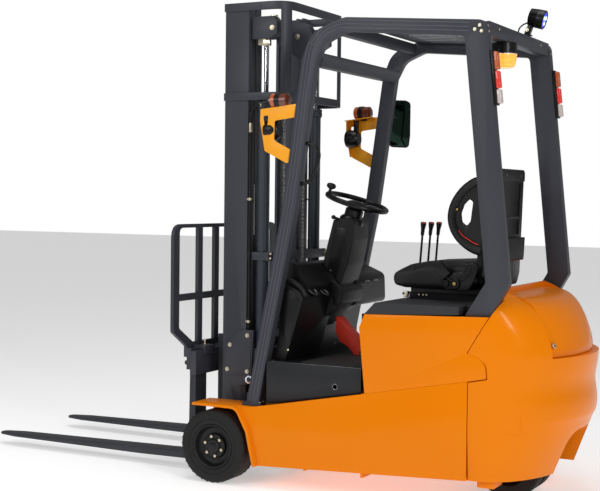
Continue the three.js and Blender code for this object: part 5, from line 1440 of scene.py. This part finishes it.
# %% Lift cylinders, rods and hoses
CYLINDER = (-112, 266)
for side, s in BOTH:
    y = s * CYLINDER[1]
    barrel = spun("lift_barrel_" + side, [(0, 132.3), (30, 132.3), (32, 136), (32, 168),
                                          (30.5, 171), (30.5, 1748), (33, 1752), (36, 1756),
                                          (37, 1760), (37, 1776), (35.4, 1778), (35.4, 1781),
                                          (37, 1783), (37, 1790), (34, 1794), (21.6, 1794)],
                  at(CYLINDER[0], y, 0), (0, 0, 1), 48)
    stand_for(barrel, BARREL_PAINT, "lift_cylinder_" + side)
    seal = spun("lift_seal_" + side, [(21.2, 1793), (27, 1793), (26, 1797.5), (21.2, 1798)],
                at(CYLINDER[0], y, 0), (0, 0, 1), 40)
    fit(seal, HOSE, STAGE, "hose_rubber")
    eased_copy("lift_rod_" + side, CHROME, 1.5, 2, 40, 60)
    nut = spun("rod_nut_" + side, [(21.2, 2062), (31, 2062), (33, 2066), (33, 2086), (30, 2090.5),
                                   (21.2, 2090.5)], at(CYLINDER[0], y, 0), (0, 0, 1), 6)
    fit(nut, ZINC, TOP_STAGE, "chrome")
    hose_y, hose_x = s * 313, -66.5
    pipe = swept("lift_hose_" + side, smooth_path([at(hose_x, hose_y, 712),
                                                   at(hose_x, hose_y, 1180),
                                                   at(hose_x, hose_y, 1700),
                                                   at(hose_x, hose_y, 1720),
                                                   at(hose_x - 10, hose_y, 1750),
                                                   at(hose_x - 26, hose_y, 1770),
                                                   at(-112, hose_y, 1776)], 8), 6.5, 16)
    stand_for(pipe, HOSE, "mast_hose_" + side)
    for k, z in enumerate((745, 1330)):
        clip = spun("hose_clip_%s_%d" % (side, k), [(6.3, -6), (10, -6), (10.4, -5), (10.4, 5),
                                                    (10, 6), (6.3, 6), (6.3, -6)],
                    at(hose_x, hose_y, z), (0, 0, 1), 28)
        fit(clip, ZINC, STAGE, "hose_rubber")
        tab = block("hose_tab_%s_%d" % (side, k), (-64, -50), sorted((s * 306, s * 316)),
                    (z - 4, z + 4), 1)
        fit(tab, ZINC, STAGE, "hose_rubber")
    union = spun("hose_union_" + side, [(0, 0), (8, 0), (9, 1.5), (9, 4), (0, 4)],
                 at(-112, s * 303.5, 1775), (0, s, 0), 6)
    fit(union, ZINC, STAGE, "hose_rubber")
    sleeve = spun("hose_sleeve_" + side, [(6.3, 0), (9, 0), (9.5, 3), (9.5, 40), (8.6, 44),
                                          (6.3, 44)], at(hose_x, hose_y, 1648), (0, 0, 1), 24)
    fit(sleeve, ZINC, STAGE, "hose_rubber")
tube = spun("steel_tube", [(0, 1160), (8, 1160), (8, 1400), (0, 1400)], at(-70, 276, 0), (0, 0, 1), 20)
fit(tube, STEEL, STAGE, "slate_paint")
print("cylinders and hoses made")

# %% Lift chain
CHAIN_AT, SHEAVE_AT, SHEAVE_R = -182, (-127, 2130), 55
LINK_R, PIN_R, PIN_HALF = 7.6, 3.4, 11.8
OUTER_ROWS, INNER_ROWS = (-11, -4.6, 2.6, 9), (-8, -1, 6)
LINK_PITCH = 19


def link(low, x, y, inner):
    outline = [(x + LINK_R * math.cos(a), z + LINK_R * math.sin(a))
               for z, begin in ((low, math.pi), (low + LINK_PITCH, 0))
               for a in (begin + math.pi * k / 16 for k in range(17))]
    return pushed("link", outline, "y", y, y + (1.9 if inner else 2.2), 0.4, 1)


def chain(name, x, foot, top, kinds=(0, 1)):
    parts = []
    for k in range(int((top - foot) // LINK_PITCH)):
        z = foot + 9 + k * LINK_PITCH
        if k % 2 in kinds:
            parts += [link(z, x, y, k % 2) for y in (INNER_ROWS if k % 2 else OUTER_ROWS)]
        if 0 in kinds:
            parts.append(rod("pin", at(x, -PIN_HALF, z), at(x, PIN_HALF, z), PIN_R, 10))
    return welded(name, parts)


LIFT, RUN_TOP, RUN_FOOT = 1480, 2130, 602.3
stand_for(chain("lift_chain_rear", CHAIN_AT, 600.3, 2118, (0,)), STEEL, "chain_rear_run")
fit(chain("lift_chain_rear_inner", CHAIN_AT, 600.3, 2118, (1,)), STEEL, TOP_STAGE, "chain_steel")
front_run = chain("lift_chain_front", SHEAVE_AT[0] + SHEAVE_R, RUN_FOOT, 2118)
stand_for(front_run, STEEL, "chain_front_run")
tuple(at(SHEAVE_AT[0] + SHEAVE_R, 0, RUN_TOP))
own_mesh(front_run)
sheave = spun("sheave", [(12.6, -16), (53, -16), (55, -14), (55, -13.5), (46, -12.8), (44.6, -11),
                         (44.6, 11), (46, 12.8), (55, 13.5), (55, 14), (53, 16), (12.6, 16),
                         (12.6, -16)], at(SHEAVE_AT[0], 0, SHEAVE_AT[1]), (0, 1, 0), 56)
stand_for(sheave, STEEL, "chain_sheave")
arc = []
for k in range(16):
    a = math.pi * (k + 0.5) / 16
    mid = at(SHEAVE_AT[0] + SHEAVE_R * math.cos(a), 0, SHEAVE_AT[1] + SHEAVE_R * math.sin(a))
    for y in (INNER_ROWS if k % 2 else OUTER_ROWS):
        piece = link(0, 0, y, k % 2)
        arc.append(carried(piece, at(0, 0, LINK_PITCH / 2), mid, -a, "Y"))
over = welded("lift_chain_over", arc)
fit(over, STEEL, TOP_STAGE, "chain_steel")
for k, s in enumerate((1, -1)):
    anchor = rod("chain_anchor_%d" % k, at(CHAIN_AT, s * 5, 560), at(CHAIN_AT, s * 5, 572), 6, 6, 1)
    fit(anchor, ZINC, STAGE, "chain_steel")
print("chain made")

# %% [markdown]
# ## Carriage, backrest and forks
# The backrest is bent round bar with two inner uprights. The forks are forged: their hooks have
# rounded shoulders, and each blade thins out to a rounded tip.

# %% Backrest and forks
paint("load_backrest", SLATE)
for side, s in BOTH:
    eased_copy("fork_" + side, FORK_PAINT, 4, 3, 35, 40)
    latch = spun("fork_latch_" + side, [(0, 0), (9, 0), (9, 3), (6, 5), (6, 16), (8, 18), (8, 24),
                                        (5, 27), (0, 28)], at(196, s * 288, 614), (0, 0, 1), 24)
    fit(latch, ZINC, BODY_OF["carriage"], "slate_paint")
    for k, (y, z) in enumerate(((365, 530), (365, 570), (115, 530), (115, 575))):
        bolt("rest_bolt_%s_%d" % (side, k), 255, s * y, z, (1, 0, 0), 7, None, BODY_OF["carriage"])
for k in range(-9, 10):
    if abs(abs(k * 38) - 288) > 62:
        # Each notch is a thin black plate on the bar's top, painted shade standing in for the cut.
        notch = block("carriage_notch_%d" % (k + 9), (181, 194), (k * 38 - 5, k * 38 + 5),
                      (591.5, 593), 0.4)
        fit(notch, BLACK_METAL, BODY_OF["carriage"], "slate_paint")
print("forks made")

# %% [markdown]
# ## Wheels and running gear
# The front tyres are solid rubber with a rounded shoulder, a raised ring on the wall and small
# notches round the tread. The rims are black, with six bright nuts round a dark hub.

# %% Front wheels
AXLE_HIGH, TYRE_INNER, TREAD_R, NUT_R, LUGS = 171.5, 395, 169.8, 46, 36
for side, s in BOTH:
    heart = at(0, 0, AXLE_HIGH)
    y0 = TYRE_INNER
    wall = [(104.2, y0 + 8), (112, y0 + 2), (124, y0), (128, y0 + 2.5), (131, y0), (155, y0),
            (163, y0 + 3), (169, y0 + 10), (171.3, y0 + 20), (171.3, y0 + 30), (168.5, y0 + 32),
            (168.5, y0 + 37), (171.3, y0 + 39)]
    other = [(r, 2 * y0 + 140 - y) for r, y in reversed(wall)]
    tyre = spun("tyre_skin_" + side, wall + other + [wall[0]], heart, (0, s, 0), 96)
    stand_for(tyre, RUBBER, "tyre_" + side)
    lugs = []
    for k in range(LUGS):
        a = 2 * math.pi * k / LUGS
        for low, high in ((y0 + 8, y0 + 27), (y0 + 113, y0 + 132)):
            x, z = TREAD_R * math.cos(a), AXLE_HIGH + TREAD_R * math.sin(a)
            lug = block("lug", (-1.6, 1.6), sorted((s * low, s * high)), (-2.2, 2.2), 0)
            lugs.append(carried(lug, at(0, 0, 0), at(x, 0, z), -a, "Y"))
    fit(welded("tyre_lugs_" + side, lugs), HOSE, BODY_OF["tyre_" + side], "tyre")
    outer, inner = 531, 405
    face = [(0, 375.6), (49, 375.6), (50, 377), (50, inner), (101, inner), (103.4, inner + 3),
            (103.4, outer - 2), (101.5, outer), (97, outer), (95, outer - 2), (93, outer - 10),
            (90, outer - 20), (86, outer - 32), (82, outer - 35), (64, outer - 38),
            (60, outer - 37), (57, outer - 30), (55.5, outer - 23), (53, outer - 21),
            (36, outer - 20), (33.5, outer - 18), (32, outer - 9), (29, outer - 6), (12, outer - 5),
            (0, outer - 4.5)]
    rim = spun("rim_skin_" + side, face, heart, (0, s, 0), 72)
    stand_for(rim, BLACK_METAL, "rim_" + side)
    nuts = []
    for k in range(6):
        a = k * math.pi / 3 + 0.3
        x, z = NUT_R * math.cos(a), AXLE_HIGH + NUT_R * math.sin(a)
        nuts.append(rod("nut", at(x, s * (outer - 22), z), at(x, s * (outer - 8.5), z), 8, 6, 1))
        nuts.append(rod("stud", at(x, s * (outer - 20), z), at(x, s * (outer - 6), z), 4, 12, 1))
    fit(welded("wheel_nuts_" + side, nuts), ZINC, BODY_OF["rim_" + side], "chrome")
    cap = spun("hub_cap_" + side, [(0, 0), (20, 0), (19, 3), (14, 4.4), (0, 4.8)],
               at(0, s * (outer - 7), AXLE_HIGH), (0, s, 0), 36)
    fit(cap, SMOOTH_BLACK, BODY_OF["rim_" + side], "black_metal")
print("front wheels made")

# %% Rear wheels, axle and tilt cylinders
REAR_HEART = at(-1300, 0, 150)
half = [(22.2, 0), (22.2, 24), (60, 24), (142, 24), (148, 28), (149.8, 36), (149.8, 62),
        (147.5, 64), (147.5, 70), (149.8, 72), (149.8, 106), (147, 114), (139, 120), (94, 120),
        (91, 117), (88, 108), (84, 91), (80, 89), (42, 88), (39, 92), (36, 106), (33, 108),
        (0, 108)]
loop = [(r, -y) for r, y in reversed(half)][:-1] + half[1:]
stand_for(spun("rear_wheel_skin", loop, REAR_HEART, (0, 1, 0), 72), RUBBER, "rear_wheels")
for side, s in BOTH:
    nuts = [rod("nut", at(-1300 + 62 * math.cos(a), s * 86, 150 + 62 * math.sin(a)),
                at(-1300 + 62 * math.cos(a), s * 97, 150 + 62 * math.sin(a)), 8, 6, 1)
            for a in (2 * math.pi * k / 5 for k in range(5))]
    fit(welded("rear_nuts_" + side, nuts), ZINC, BODY_OF["rear_wheels"], "chrome")
    disc = spun("rear_disc_" + side, [(40, 88.2), (80, 89.2), (80, 90), (40, 89)], REAR_HEART,
                (0, s, 0), 48)
    fit(disc, BLACK_METAL, BODY_OF["rear_wheels"], "black_metal")
for node in ("front_axle", "steer_fork"):
    eased_copy(node, BLACK_METAL, 2)
for side, s in BOTH:
    eased_copy("tilt_cylinder_" + side, BLACK_METAL, 1, 2, 40, 50)
    eased_copy("tilt_rod_" + side, CHROME, 1, 2, 40, 50)
print("running gear made")

# %% [markdown]
# ## The size at the end
# The box round everything shown is measured again, and its size is printed with the number
# of pieces added. Nothing added here may make the truck bigger than its solid model by more
# than a hair.

# %% Sizes and finish
LOOK_BOX = [list(corner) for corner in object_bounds()]
({"solid": [[float(v) for v in c] for c in SOLID_BOX],
           "look": [[float(v) for v in c] for c in LOOK_BOX]})
print("pieces added:", len(SHOWN), "box:", [round(b - a, 3) for a, b in zip(*LOOK_BOX)], "m")
